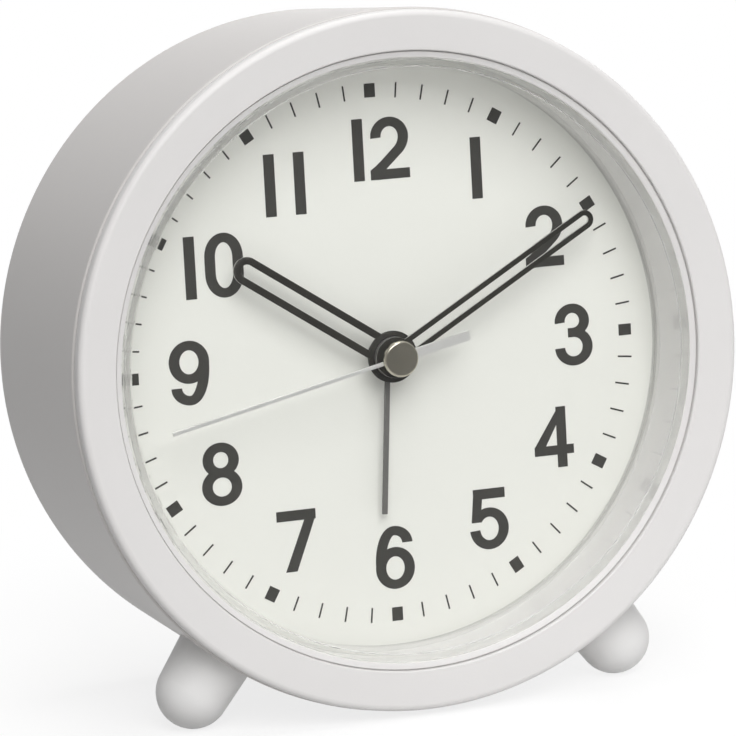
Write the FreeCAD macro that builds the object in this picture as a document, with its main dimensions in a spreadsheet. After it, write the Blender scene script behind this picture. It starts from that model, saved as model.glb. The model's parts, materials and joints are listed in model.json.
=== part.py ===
"""Round analogue bedside alarm clock on two round-ended feet.

The clock is drawn lying on its back: X to the right and Y up the dial as the
owner sees it, Z out of the dial, with Z = 0 on the dial's printed face and the
hands' axis at X = Y = 0.  Every piece is then stood up by one placement, which
leans the clock back until both feet and the lower rear edge touch the floor.
All lengths are in millimetres and all angles in degrees.
"""
import FreeCAD, Part
import Sketcher
import math
import os
import re

Vector = FreeCAD.Vector

doc = FreeCAD.newDocument("alarm_clock")
sizes = doc.addObject("Spreadsheet::Sheet", "sizes")
size_names = set()
rules = {}
finished = []


# ---------------------------------------------------------------- size sheet

def rule(name, formula):
    """Name a length that follows from the driving dimensions."""
    rules[name] = formula


def bound(formula):
    """Write a formula in the sheet's own names, with every rule worked in."""
    def swap(match):
        word = match.group(0)
        if word in rules:
            return f"({bound(rules[word])})"
        return f"sizes.{word}" if word in size_names else word
    return re.sub(r"[a-z_][a-z_0-9]*", swap, str(formula))


def value(formula):
    """The number that a formula gives with the present sizes."""
    return float(sizes.evalExpression(bound(formula)))


def drive(thing, prop, formula):
    """Bind a property of a feature to a formula of the sheet."""
    thing.setExpression(prop, bound(formula))


SIZES = [
    # the glass opening, the front ring and the drum behind it
    ("opening_radius", 44.25, "front ring: radius of the round opening"),
    ("ring_front", 13.6, "front ring: crest above the dial"),
    ("ring_side", 2.4, "front ring: visible depth of its side"),
    ("ring_dish", 0.8, "front ring: how far its face falls towards the opening"),
    ("ring_edge", 1.0, "front ring: rounding of the outer edge"),
    ("ring_lip", 0.5, "front ring: rounding of the opening"),
    ("ring_back_edge", 0.3, "front ring: rounding of its rear outer edge"),
    ("ring_setback", 0.3, "front ring: how much smaller it is than the drum"),
    ("sleeve_wall", 2.95, "front ring: wall of the sleeve inside the drum"),
    ("sleeve_depth", 1.7, "front ring: how far the sleeve reaches behind the dial"),
    ("drum_wall", 3.0, "drum: wall at the front"),
    ("drum_draft", 1.4, "drum: radius lost towards the back"),
    ("drum_back", 30.4, "drum: rear rim behind the dial"),
    ("drum_rear_wall", 2.2, "drum: wall at the back"),
    ("drum_edge", 1.5, "drum: rounding of the rear rim"),
    ("drum_groove", 0.4, "drum: chamfer beside the front ring"),
    ("press_gap", 0.1, "gap between the sleeve and the drum"),
    ("drum_root", 0.6, "drum: how deep ribs run into the wall"),
    ("rib_width", 1.8, "drum: width of a dial rib"),
    ("rib_count", 6, "drum: number of dial ribs"),
    ("rib_depth", 4.1, "drum: how far a dial rib stands in"),
    ("rib_length", 9.0, "drum: length of a dial rib"),
    ("post_radius", 3.2, "drum: radius of a cover screw post"),
    ("post_inset", 2.9, "drum: post centre inside the inner wall"),
    ("post_length", 15.0, "drum: length of a cover screw post"),
    # lens and dial
    ("lens_gap", 0.6, "gap between the lens and the opening"),
    ("lens_recess", 0.4, "lens face below the inner edge of the ring"),
    ("lens_thickness", 1.4, "lens: thickness of the face"),
    ("lens_skirt", 1.1, "lens: wall of the skirt"),
    ("lens_edge", 0.35, "lens: rounding of the front edge"),
    ("lens_flange", 1.2, "lens: thickness of the rear flange"),
    ("dial_ledge", 1.15, "how far lens flange and dial reach past the opening"),
    ("dial_thickness", 0.4, "dial: printed card"),
    ("plate_thickness", 1.5, "dial plate: thickness"),
    ("loose_fit", 0.2, "gap round a piece that drops into its seat"),
    ("stop_gap", 0.05, "end gap of the lens flange under the ring's step"),
    # rear cover and battery bay
    ("cover_thickness", 2.0, "rear cover: thickness"),
    ("cover_recess", 0.8, "rear cover: depth inside the rim"),
    ("cover_count", 3, "rear cover: number of screws"),
    ("seat_lip", 1.2, "drum: width of the ledge under the cover"),
    ("seat_depth", 2.0, "drum: depth of the ledge under the cover"),
    ("cell_radius", 7.2, "battery: radius of an AA cell"),
    ("cell_length", 49.2, "battery: length of an AA cell to its shoulder"),
    ("cell_nub_radius", 2.75, "battery: radius of the positive nub"),
    ("cell_nub_height", 1.2, "battery: height of the positive nub"),
    ("bay_gap", 0.7, "gap between the battery bay and the movement"),
    ("contact_width", 9.0, "battery contacts: width"),
    ("contact_height", 7.0, "battery contacts: height"),
    ("contact_sheet", 0.4, "battery contacts: sheet thickness"),
    ("contact_bend", 3.0, "battery contacts: width that touches the cell"),
    ("bay_wall", 1.0, "battery bay: wall"),
    ("bay_play", 0.3, "battery bay: play round the cell"),
    ("contact_room", 2.0, "battery bay: room for a contact at each end"),
    ("door_thickness", 1.4, "battery door: thickness"),
    ("door_overlap", 0.6, "battery door: how far it laps past the bay's inner walls"),
    ("door_play", 0.25, "battery door: gap round its edge"),
    ("pin_radius", 0.4, "battery door: radius of the hinge pins"),
    ("pin_length", 1.0, "battery door: how far a hinge pin reaches into the cover"),
    ("latch_width", 8.0, "battery door: width of the latch tongue"),
    ("latch_length", 5.0, "battery door: length of the latch tongue"),
    ("latch_nub", 0.6, "battery door: thickness of the latch nub"),
    ("latch_dip", 0.5, "battery door: depth of the finger dip"),
    ("finger_width", 4, "battery door: width of the finger dip and of the catch"),
    ("finger_height", 2.5, "battery door: height of the finger dip"),
    ("finger_inset", 1.25, "battery door: distance of the finger dip from the edge"),
    ("latch_slot", 0.6, "battery door: slot beside the latch tongue"),
    # feet
    ("foot_radius", 5.7, "foot: radius at the drum"),
    ("foot_tip_radius", 5.3, "foot: radius of the ball end"),
    ("foot_reach", 5.5, "foot: how far the ball's centre stands out of the drum"),
    ("foot_sink", 1.4, "foot: depth of its flat seat in the drum's wall"),
    ("foot_angle", 36.0, "foot: angle from straight down"),
    ("foot_forward", 3.0, "foot: axis in front of the dial"),
    ("foot_gap", 0.1, "foot: gap round the shank in its seat"),
    ("peg_radius", 2.4, "foot: radius of the glued peg"),
    ("peg_length", 1.5, "foot: length of the glued peg"),
    ("peg_breakthrough", 0.5, "foot: how far the peg hole is cut past the bore"),
    ("peg_gap", 0.02, "foot: gap round the peg"),
    # hands
    ("tube_gap", 0.06, "running gap between the hands' tubes"),
    ("arbor_radius", 0.5, "second arbor: radius"),
    ("minute_tube", 1.1, "cannon pinion: outer radius of its tube"),
    ("hour_tube", 1.5, "hour wheel: outer radius of its tube"),
    ("alarm_tube", 1.9, "alarm wheel: outer radius of its tube"),
    ("bush_radius", 2.35, "movement: outer radius of the centre bush"),
    ("bush_height", 0.6, "movement: bush above the dial"),
    ("bush_gap", 0.1, "gap between the bush and the hole in dial and plate"),
    ("hand_thickness", 0.4, "hands: sheet thickness"),
    ("hand_gap", 0.25, "gap between the minute hand's collar and the hour hand"),
    ("alarm_height", 1.9, "alarm hand: top above the dial"),
    ("hour_height", 3.8, "hour hand: top above the dial"),
    ("minute_height", 4.9, "minute hand: top above the dial"),
    ("second_height", 6.5, "second hand: top above the dial"),
    ("cap_height", 7.4, "centre cap: top above the dial"),
    ("alarm_angle", 184.4, "alarm hand: clockwise from twelve"),
    ("hour_angle", 303.8, "hour hand: clockwise from twelve"),
    ("minute_angle", 60.4, "minute hand: clockwise from twelve"),
    ("second_angle", 257.8, "second hand: clockwise from twelve"),
    ("alarm_length", 23.1, "alarm hand: tip from the axis"),
    ("alarm_width", 0.86, "alarm hand: width"),
    ("alarm_hub", 2.7, "alarm hand: hub radius"),
    ("hour_length", 27.7, "hour hand: tip from the axis"),
    ("hour_width", 4.0, "hour hand: width"),
    ("hour_slot", 1.75, "hour hand: width of the open slot"),
    ("hour_hub", 3.75, "hour hand: hub radius"),
    ("minute_length", 36.4, "minute hand: tip from the axis"),
    ("minute_width", 2.8, "minute hand: width"),
    ("minute_slot", 1.2, "minute hand: width of the open slot"),
    ("minute_hub", 2.95, "minute hand: hub radius"),
    ("slot_start", 0.35, "hands: slot's distance from the hub"),
    ("second_length", 35.4, "second hand: tip from the axis"),
    ("second_width", 0.45, "second hand: needle width"),
    ("second_tail", 11.2, "second hand: tail end from the axis"),
    ("tail_width", 1.4, "second hand: tail width"),
    ("boss_radius", 1.0, "second hand: radius of its boss"),
    ("boss_height", 0.9, "second hand: height of its boss"),
    ("cap_radius", 2.6, "centre cap: radius"),
    ("cap_chamfer", 0.25, "centre cap: chamfer"),
    # movement
    ("housing_wall", 1.5, "movement: wall of the two housings"),
    ("housing_right", 26.0, "movement: half width"),
    ("housing_top", 28.5, "movement: top above the hands' axis"),
    ("housing_bottom", 17.4, "movement: bottom below the hands' axis"),
    ("housing_corner", 3.0, "movement: corner radius"),
    ("wheel_play", 0.3, "gap between a housing and the nearest wheel"),
    ("wheel_face", 0.9, "wheels: thickness"),
    ("layer_gap", 0.45, "gap between two wheel layers"),
    ("pinion_extra", 0.1, "pinions: overhang past the wheel they drive"),
    ("pivot_radius", 0.4, "arbors: radius"),
    ("pivot_gap", 0.05, "arbors: running gap in their holes"),
    ("pivot_depth", 1.0, "arbors: length inside a housing"),
    ("stud_radius", 0.5, "motion wheel stud: radius"),
    ("stud_end", 0.15, "motion wheel stud: length past the wheel"),
    ("spring_radius", 1.6, "clutch spring: outer radius"),
    ("tooth_root", 0.42, "tooth thickness at the root, as a share of the pitch"),
    ("tooth_tip", 0.17, "tooth thickness at the tip, as a share of the pitch"),
    ("tooth_sink", 0.2, "depth of a tooth inside the root circle, in modules"),
    ("tooth_crown", 0.17, "rounded end of a tooth, in modules"),
    ("crown_share", 1.1, "radius of the rounded end, as a share of half its thickness"),
    ("hub_share", 1.9, "radius of a hub beside a pinion, in modules"),
    ("addendum", 0.8, "tooth height above the pitch circle, in modules"),
    ("dedendum", 1.1, "tooth depth below the pitch circle, in modules"),
    ("leaves", 6, "leaves of every reduction pinion"),
    ("cannon_teeth", 8, "cannon pinion: teeth"),
    ("motion_teeth", 24, "motion wheel: teeth"),
    ("hour_teeth", 24, "hour wheel: teeth"),
    ("centre_teeth", 48, "centre wheel: teeth"),
    ("third_teeth", 45, "third wheel: teeth"),
    ("seconds_teeth", 36, "second wheel: teeth"),
    ("step_teeth", 30, "step wheel: teeth"),
    ("alarm_teeth", 24, "alarm wheel: teeth"),
    ("alarm_set_teeth", 22, "alarm setting shaft: teeth"),
    ("time_set_teeth", 12, "time setting shaft: teeth"),
    ("motion_module", 0.4, "module of cannon pinion and motion wheel"),
    ("centre_module", 0.3, "module of centre wheel and third pinion"),
    ("seconds_module", 0.39, "module of second wheel and step pinion"),
    ("rotor_module", 0.35, "module of step wheel and rotor pinion"),
    ("alarm_module", 0.4, "module of the alarm setting wheels"),
    ("motion_direction", 340, "direction of the motion wheel from the centre"),
    ("third_direction", 235, "direction of the third wheel from the centre"),
    ("step_direction", 75, "direction of the step wheel from the centre"),
    ("rotor_direction", 60, "direction of the rotor from the step wheel"),
    ("alarm_direction", 160, "direction of the alarm setting shaft"),
    # motor and electronics
    ("magnet_radius", 3.0, "rotor magnet: radius"),
    ("magnet_length", 2.4, "rotor magnet: length"),
    ("air_gap", 0.5, "gap between rotor magnet and stator"),
    ("iron", 1.0, "stator and core: thickness"),
    ("stator_left", 10.0, "stator: left end from the hands' axis"),
    ("stator_right", 20.0, "stator: right end from the hands' axis"),
    ("stator_margin", 4.0, "stator: width beside the rotor hole"),
    ("stator_arm", 5.0, "stator: width of an arm"),
    ("core_centre", 23.0, "coil core: centre above the hands' axis"),
    ("core_width", 3.6, "coil core: width"),
    ("bobbin_size", 6.4, "coil bobbin: flange size"),
    ("bobbin_flange", 0.8, "coil bobbin: flange thickness"),
    ("bobbin_wall", 0.5, "coil bobbin: wall round the core"),
    ("winding_radius", 2.95, "coil winding: radius"),
    ("stake_radius", 0.7, "housing stakes: radius"),
    ("stake_rise", 0.4, "housing stakes: length past the stator"),
    ("stake_inset", 2.2, "housing stakes: distance from the stator's ends"),
    ("post_foot", 1.5, "housing posts under stator and core: radius"),
    ("housing_boss", 2.4, "movement: radius of a screw boss"),
    ("boss_inset", 3.2, "movement: screw centre from the outer faces"),
    ("coil_gap", 0.3, "gap between the bobbin and the stator's arms"),
    ("magnet_rise", 1.5, "rotor magnet above the rotor pinion"),
    ("board_left", 24.3, "circuit board: left edge from the hands' axis"),
    ("board_right", 12.9, "circuit board: right edge from the hands' axis"),
    ("board_top", 18.0, "circuit board: top edge above the hands' axis"),
    ("board_bottom", 10.5, "circuit board: bottom edge below the hands' axis"),
    ("board_thickness", 0.8, "circuit board: thickness"),
    ("blob_radius", 3.0, "chip cover: radius"),
    ("blob_height", 0.9, "chip cover: height"),
    ("crystal_radius", 1.0, "quartz can: radius"),
    ("crystal_length", 6.0, "quartz can: length"),
    ("board_part_drop", 9.0, "distance of the quartz can below the chip"),
    # controls on the back
    ("shaft_radius", 1.25, "setting shafts: radius"),
    ("shaft_gap", 0.35, "setting shafts: gap in the rear cover"),
    ("knob_radius", 4.6, "knobs: radius"),
    ("knob_length", 6.0, "knobs: length"),
    ("knob_gap", 0.4, "knobs: gap to the rear cover"),
    ("knob_socket", 4.0, "knobs: depth of the socket for the shaft"),
    ("knob_flutes", 12, "knobs: number of grip flutes"),
    ("flute_radius", 0.7, "knobs: radius of a grip flute"),
    ("flute_depth", 0.35, "knobs: depth of a grip flute"),
    ("knob_edge", 0.6, "knobs: rounding of the outer edge"),
    ("switch_right", 22.0, "alarm switch: distance right of the axis"),
    ("switch_up", 12.0, "alarm switch: middle above the axis"),
    ("switch_travel", 4.0, "alarm switch: travel"),
    ("switch_neck", 3.0, "alarm switch: width of the neck"),
    ("switch_grip", 5.0, "alarm switch: length of the grip"),
    ("switch_stand", 1.8, "alarm switch: grip above the cover"),
    ("switch_flange", 1.2, "alarm switch: thickness of the inner flange"),
    ("switch_side", 1.6, "alarm switch: inner flange past the neck"),
    ("slide_gap", 0.1, "alarm switch: sliding gap"),
    ("guide_thickness", 1.2, "alarm switch guide: thickness"),
    ("leaf_thickness", 0.25, "alarm switch contacts: thickness"),
    ("leaf_tab", 1.2, "alarm switch contacts: height of the tabs"),
    ("buzzer_left", 22.0, "buzzer: distance left of the axis"),
    ("buzzer_up", 14.0, "buzzer: distance above the axis"),
    ("buzzer_radius", 9.0, "buzzer: outer radius of its ring"),
    ("buzzer_ring", 1.2, "buzzer: wall of its ring"),
    ("buzzer_height", 4.5, "buzzer: height of its ring"),
    ("buzzer_sheet", 0.4, "buzzer: thickness of the sounding disc"),
    ("crystal_sheet", 0.3, "buzzer: thickness of the crystal"),
    ("crystal_share", 0.6, "buzzer: crystal's share of the disc's radius"),
    ("sound_slots", 5, "rear cover: number of sound slots"),
    ("sound_pitch", 2.4, "rear cover: distance between sound slots"),
    ("sound_width", 1.2, "rear cover: width of a sound slot"),
    ("sound_length", 9.0, "rear cover: length of a sound slot"),
    # fasteners
    ("screw_radius", 1.0, "screws: radius of the thread"),
    ("screw_head", 1.9, "screws: radius of the head"),
    ("screw_head_height", 1.1, "screws: height of the head"),
    ("screw_clearance", 0.25, "screws: gap in a clearance hole"),
    ("screw_pilot", 0.02, "screws: gap in a pilot hole"),
    ("screw_grip", 1.5, "cover screws: pilot hole left below the tip"),
    ("screw_cross", 2.2, "screws: length of the cross slot"),
    ("screw_slot", 0.5, "screws: width of the cross slot"),
    ("screw_slot_depth", 0.5, "screws: depth of the cross slot"),
    ("cover_screw_length", 10.0, "cover screws: length under the head"),
    ("housing_screw_length", 8.0, "movement screws: length under the head"),
    ("mount_screw_length", 3.3, "movement mounting screws: length under the head"),
    ("lug_radius", 3.2, "movement: radius of a mounting lug"),
    ("lug_right", 29.5, "movement: mounting lugs beside the axis"),
    ("lug_up", 6.0, "movement: mounting lugs above the axis"),
    ("lug_thickness", 2.0, "movement: thickness of a mounting lug"),
]

for row, (name, amount, meaning) in enumerate(SIZES, start=1):
    sizes.set(f"A{row}", meaning)
    sizes.set(f"B{row}", str(amount))
    sizes.setAlias(f"B{row}", name)
    size_names.add(name)
doc.recompute()

# radii of the casing
rule("sleeve_radius", "opening_radius + sleeve_wall")
rule("drum_bore", "sleeve_radius + press_gap")
rule("drum_radius", "drum_bore + drum_wall")
rule("drum_rear_radius", "drum_radius - drum_draft")
rule("drum_inside", "drum_rear_radius - drum_rear_wall")
rule("ring_radius", "drum_radius - ring_setback")
rule("dial_radius", "opening_radius + dial_ledge")
rule("step_radius", "dial_radius + loose_fit")
rule("lens_radius", "opening_radius - lens_gap")
rule("cover_radius", "drum_inside - loose_fit")
rule("post_ring", "drum_inside - post_inset")
rule("foot_centre", "drum_radius + foot_reach")
rule("foot_seat", "drum_radius - foot_sink")

# heights of the casing, positive in front of the dial's face
rule("ring_back", "ring_front - ring_side")
rule("ring_inner", "ring_front - ring_dish")
rule("lens_front", "ring_inner - lens_recess")
rule("lens_inner", "lens_radius - lens_skirt")
rule("lens_inside", "lens_front - lens_thickness")
rule("shoulder_height", "0 - sleeve_depth - stop_gap")
rule("pilot_radius", "screw_radius + screw_pilot")
rule("step_height", "lens_flange + stop_gap")
rule("plate_front", "0 - dial_thickness")
rule("plate_back", "plate_front - plate_thickness")
rule("rib_end", "plate_back - rib_length")
rule("drum_end", "0 - drum_back")
rule("cover_face", "drum_end + cover_recess")
rule("cover_inside", "cover_face + cover_thickness")

# heights of the movement
rule("housing_inside", "plate_back - housing_wall")
rule("wheel_top", "housing_inside - wheel_play")
rule("layer", "wheel_face + layer_gap")
rule("alarm_top", "wheel_top")
rule("hour_top", "wheel_top - layer")
rule("motion_top", "wheel_top - 2 * layer")
rule("centre_top", "wheel_top - 3 * layer")
rule("third_top", "wheel_top - 4 * layer")
rule("seconds_top", "wheel_top - 5 * layer")
rule("step_top", "wheel_top - 6 * layer")
rule("lid_inside", "step_top - wheel_face - layer_gap")
rule("lid_back", "lid_inside - housing_wall")
rule("front_pivot", "housing_inside + pivot_depth")
rule("rear_pivot", "lid_inside - pivot_depth")

# distances between the movement's arbors
rule("motion_distance", "motion_module * (cannon_teeth + motion_teeth) / 2")
rule("hour_module", "2 * motion_distance / (leaves + hour_teeth)")
rule("third_distance", "centre_module * (centre_teeth + leaves) / 2")
rule("third_module", "2 * third_distance / (third_teeth + leaves)")
rule("step_distance", "seconds_module * (seconds_teeth + leaves) / 2")
rule("rotor_distance", "rotor_module * (step_teeth + leaves) / 2")
rule("time_set_distance", "motion_module * (motion_teeth + time_set_teeth) / 2")
rule("alarm_set_distance", "alarm_module * (alarm_teeth + alarm_set_teeth) / 2")

# places of the movement's arbors on the dial plane
rule("motion_x", "motion_distance * cos(motion_direction)")
rule("motion_y", "motion_distance * sin(motion_direction)")
rule("third_x", "third_distance * cos(third_direction)")
rule("third_y", "third_distance * sin(third_direction)")
rule("step_x", "step_distance * cos(step_direction)")
rule("step_y", "step_distance * sin(step_direction)")
rule("rotor_x", "step_x + rotor_distance * cos(rotor_direction)")
rule("rotor_y", "step_y + rotor_distance * sin(rotor_direction)")
rule("time_x", "motion_x + time_set_distance * cos(motion_direction)")
rule("time_y", "motion_y + time_set_distance * sin(motion_direction)")
rule("alarm_x", "alarm_set_distance * cos(alarm_direction)")
rule("alarm_y", "alarm_set_distance * sin(alarm_direction)")

# the battery bay, in the cover
rule("bay_half_length", "cell_length / 2 + cell_nub_height / 2 + contact_room")
rule("bay_half_width", "cell_radius + bay_play")
rule("bay_y", "0 - housing_bottom - bay_gap - bay_wall - bay_half_width")
rule("door_inside", "cover_face + door_thickness")
rule("cell_z", "door_inside + bay_play + cell_radius")
rule("bay_floor", "cell_z + cell_radius + bay_play")
rule("bay_top", "bay_floor + bay_wall")
rule("door_half_length", "bay_half_length + door_overlap")
rule("door_half_width", "bay_half_width + door_overlap")
rule("barrel_radius", "door_thickness / 2 - stop_gap")
rule("hinge_y", "bay_y - door_half_width + door_play + barrel_radius")
rule("hinge_z", "cover_face + door_thickness / 2")
rule("door_edge", "bay_y + door_half_width - door_play")
rule("pin_end", "door_half_length + pin_length")

# the motor
rule("magnet_bottom", "step_top + pinion_extra + magnet_rise")
rule("stator_top", "magnet_bottom + magnet_length / 2 + iron / 2")
rule("core_top", "stator_top + iron")
rule("core_middle", "stator_top + iron / 2")
rule("core_low", "core_centre - core_width / 2")
rule("core_high", "core_centre + core_width / 2")
rule("bobbin_left", "stator_arm - stator_left + coil_gap")
rule("bobbin_right", "stator_right - stator_arm - coil_gap")

# tubes on the hands' axis
rule("cannon_bore", "arbor_radius + tube_gap")
rule("hour_bore", "minute_tube + tube_gap")
rule("alarm_bore", "hour_tube + tube_gap")
rule("dial_hole", "bush_radius + bush_gap")

# the controls
rule("knob_front", "cover_face - knob_gap")
rule("neck_half", "switch_neck / 2")
rule("flange_top", "cover_inside + slide_gap + switch_flange")


# ------------------------------------------------------------ drawing helpers

places = {}


def start(label, x="0", y="0", turn=0.0):
    """Begin a piece, drawn on its own axis and moved to its place at the end."""
    body = doc.addObject("PartDesign::Body", label)
    body.Label = label
    places[body.Name] = (x, y, turn)
    finished.append(body)
    return body


def drawing(body, level, role="XY_Plane"):
    """An empty sketch on one of the piece's own planes, lifted to a level."""
    plane = [feature for feature in body.Origin.OriginFeatures if feature.Role == role][0]
    sketch = body.newObject("Sketcher::SketchObject", "sketch")
    sketch.AttachmentSupport = [(plane, "")]
    sketch.MapMode = "FlatFace"
    drive(sketch, "AttachmentOffset.Base.z", level)
    return sketch


def fix(sketch, kind, formula, *where):
    """Add one dimension to a sketch and bind it to the sheet."""
    index = sketch.addConstraint(Sketcher.Constraint(kind, *where, value(formula)))
    drive(sketch, f"Constraints[{index}]", formula)


def circle(sketch, radius, x="0", y="0"):
    """Draw a circle round the point x, y."""
    centre = Vector(value(x), value(y), 0)
    item = sketch.addGeometry(Part.Circle(centre, Vector(0, 0, 1), value(radius)))
    fix(sketch, "Radius", radius, item)
    if (x, y) == ("0", "0"):
        sketch.addConstraint(Sketcher.Constraint("Coincident", item, 3, -1, 1))
    else:
        fix(sketch, "DistanceX", x, -1, 1, item, 3)
        fix(sketch, "DistanceY", y, -1, 1, item, 3)


def bulge(corner, after, radius):
    """An arc from one corner to the next that bulges out of an outline."""
    chord = after - corner
    rise = radius - math.sqrt(radius ** 2 - chord.Length ** 2 / 4)
    outward = Vector(chord.y, -chord.x, 0).normalize()
    return Part.Arc(corner, (corner + after) / 2 + outward * rise, after)


def outline(sketch, points, arcs=None):
    """Draw a closed outline anticlockwise; arcs gives the radius of a round side."""
    arcs = arcs or {}
    corners = [Vector(value(x), value(y), 0) for x, y in points]
    sides = []
    for number, corner in enumerate(corners):
        after = corners[(number + 1) % len(corners)]
        curve = Part.LineSegment(corner, after)
        if number in arcs:
            curve = bulge(corner, after, value(arcs[number]))
        sides.append(sketch.addGeometry(curve))
    for number, side in enumerate(sides):
        after = sides[(number + 1) % len(sides)]
        sketch.addConstraint(Sketcher.Constraint("Coincident", side, 2, after, 1))
    for side, (x, y) in zip(sides, points):
        fix(sketch, "DistanceX", x, -1, 1, side, 1)
        fix(sketch, "DistanceY", y, -1, 1, side, 1)
    for number, radius in arcs.items():
        fix(sketch, "Radius", radius, sides[number])


def box(sketch, left, right, low, high):
    """Draw a rectangle."""
    outline(sketch, [(left, low), (right, low), (right, high), (left, high)])


def pad(body, name, sketch, bottom, top):
    """Raise a sketch that lies at the bottom up to the top."""
    feature = body.newObject("PartDesign::Pad", name)
    feature.Profile = sketch
    drive(feature, "Length", f"({top}) - ({bottom})")
    body.Tip = feature
    return feature


def cut(body, name, sketch, bottom, top):
    """Cut a sketch that lies at the top down to the bottom."""
    feature = body.newObject("PartDesign::Pocket", name)
    feature.Profile = sketch
    drive(feature, "Length", f"({top}) - ({bottom})")
    body.Tip = feature
    return feature


def disc(body, name, bottom, top, radius, hole=None, x="0", y="0"):
    """A round disc or, with a hole, a ring."""
    sketch = drawing(body, bottom)
    circle(sketch, radius, x, y)
    if hole:
        circle(sketch, hole, x, y)
    return pad(body, name, sketch, bottom, top)


def discs(body, name, bottom, top, radius, centres):
    """The same round disc at several places."""
    sketch = drawing(body, bottom)
    for x, y in centres:
        circle(sketch, radius, x, y)
    return pad(body, name, sketch, bottom, top)


def bores(body, name, bottom, top, radius, centres=(("0", "0"),)):
    """The same round hole at several places."""
    sketch = drawing(body, top)
    for x, y in centres:
        circle(sketch, radius, x, y)
    return cut(body, name, sketch, bottom, top)


def block(body, name, bottom, top, left, right, low, high):
    """A rectangular block."""
    sketch = drawing(body, bottom)
    box(sketch, left, right, low, high)
    return pad(body, name, sketch, bottom, top)


def window(body, name, bottom, top, left, right, low, high):
    """A rectangular opening."""
    sketch = drawing(body, top)
    box(sketch, left, right, low, high)
    return cut(body, name, sketch, bottom, top)


def turned(body, name, points, arcs=None):
    """Turn an outline of radius and height round the piece's own axis."""
    sketch = drawing(body, "0", "XZ_Plane")
    outline(sketch, points, arcs)
    feature = body.newObject("PartDesign::Revolution", name)
    feature.Profile = sketch
    feature.ReferenceAxis = (sketch, ["V_Axis"])
    feature.Angle = 360
    body.Tip = feature
    return feature


def repeat(body, name, features, count):
    """Repeat features round the piece's own axis."""
    axis = [feature for feature in body.Origin.OriginFeatures if feature.Role == "Z_Axis"][0]
    pattern = body.newObject("PartDesign::PolarPattern", name)
    pattern.Originals = features
    pattern.Axis = (axis, [""])
    pattern.Angle = 360
    drive(pattern, "Occurrences", count)
    body.Tip = pattern
    return pattern


def round_edges(shape, rings):
    """The names of a shape's circular edges with the given radii and heights."""
    found = []
    for number, edge in enumerate(shape.Edges, 1):
        curve = edge.Curve
        for radius, height in rings:
            if not hasattr(curve, "Radius"):
                continue
            close = abs(curve.Radius - value(radius)) + abs(curve.Center.z - value(height))
            if close < 0.002:
                found.append(f"Edge{number}")
    return found


def upright_edges(shape, level, corners):
    """The names of a shape's upright edges that pass a level near given corners."""
    found = []
    for number, edge in enumerate(shape.Edges, 1):
        ends = [vertex.Point for vertex in edge.Vertexes]
        if len(ends) < 2 or (ends[0] - ends[1]).Length < abs(ends[0].z - ends[1].z) - 0.001:
            continue
        if abs(ends[0].x - ends[1].x) + abs(ends[0].y - ends[1].y) > 0.001:
            continue
        if not min(ends[0].z, ends[1].z) - 0.001 < level < max(ends[0].z, ends[1].z) + 0.001:
            continue
        if any(abs(ends[0].x - x) + abs(ends[0].y - y) < 0.01 for x, y in corners):
            found.append(f"Edge{number}")
    return found


def soften(body, name, kind, amount, edges_of):
    """Round or chamfer the edges that edges_of picks on the piece so far."""
    base = body.Tip
    doc.recompute()
    feature = body.newObject(f"PartDesign::{kind}", name)
    feature.Base = (base, edges_of(base.Shape))
    drive(feature, "Radius" if kind == "Fillet" else "Size", amount)
    body.Tip = feature
    return feature


def soften_rings(body, name, kind, amount, *rings):
    """Round or chamfer circular edges, each given by its radius and height."""
    return soften(body, name, kind, amount, lambda shape: round_edges(shape, rings))


def soften_corners(body, name, amount, level, left, right, low, high):
    """Round the four upright corners of a rectangular piece."""
    corners = [(value(x), value(y)) for x in (left, right) for y in (low, high)]
    return soften(body, name, "Fillet", amount,
                  lambda shape: upright_edges(shape, value(level), corners))


def teeth(body, name, bottom, top, module, count, hole=None):
    """A toothed wheel: a root disc, one tooth on its X axis, and the tooth's copies."""
    root = f"({module}) * ({count} / 2 - dedendum)"
    foot = f"({root}) - ({module}) * tooth_sink"
    shoulder = f"({module}) * ({count} / 2 + addendum - tooth_crown)"
    wide = f"({module}) * pi * tooth_root / 2"
    narrow = f"({module}) * pi * tooth_tip / 2"
    disc(body, f"{name}_root", bottom, top, root, hole)
    sketch = drawing(body, bottom)
    points = [(foot, f"0 - {wide}"), (shoulder, f"0 - {narrow}"), (shoulder, narrow), (foot, wide)]
    outline(sketch, points, {1: f"{narrow} * crown_share"})
    tooth = pad(body, f"{name}_tooth", sketch, bottom, top)
    return repeat(body, f"{name}_teeth", [tooth], count)


def mesh_angle(direction, own_teeth, other_teeth, other_angle):
    """How far a wheel is turned so that its gap takes the other wheel's tooth.

    The direction leads from the other wheel's axis to this wheel's axis.
    """
    pitch = 360 / value(own_teeth)
    part = ((value(direction) - other_angle) * value(other_teeth) / 360) % 1
    return (value(direction) + 180 - (0.5 - part) * pitch) % pitch


# --------------------------------------------------------------------- casing

def make_bezel():
    """The front ring, with the sleeve that carries lens and dial in the drum."""
    body = start("bezel")
    turned(body, "ring", [
        ("sleeve_radius", "0 - sleeve_depth"),
        ("sleeve_radius", "ring_back"),
        ("ring_radius", "ring_back"),
        ("ring_radius", "ring_front"),
        ("opening_radius", "ring_inner"),
        ("opening_radius", "step_height"),
        ("step_radius", "step_height"),
        ("step_radius", "0 - sleeve_depth"),
    ])
    soften_rings(body, "outer_edge", "Fillet", "ring_edge", ("ring_radius", "ring_front"))
    soften_rings(body, "lip", "Fillet", "ring_lip", ("opening_radius", "ring_inner"))
    soften_rings(body, "back_edge", "Fillet", "ring_back_edge", ("ring_radius", "ring_back"))


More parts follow.
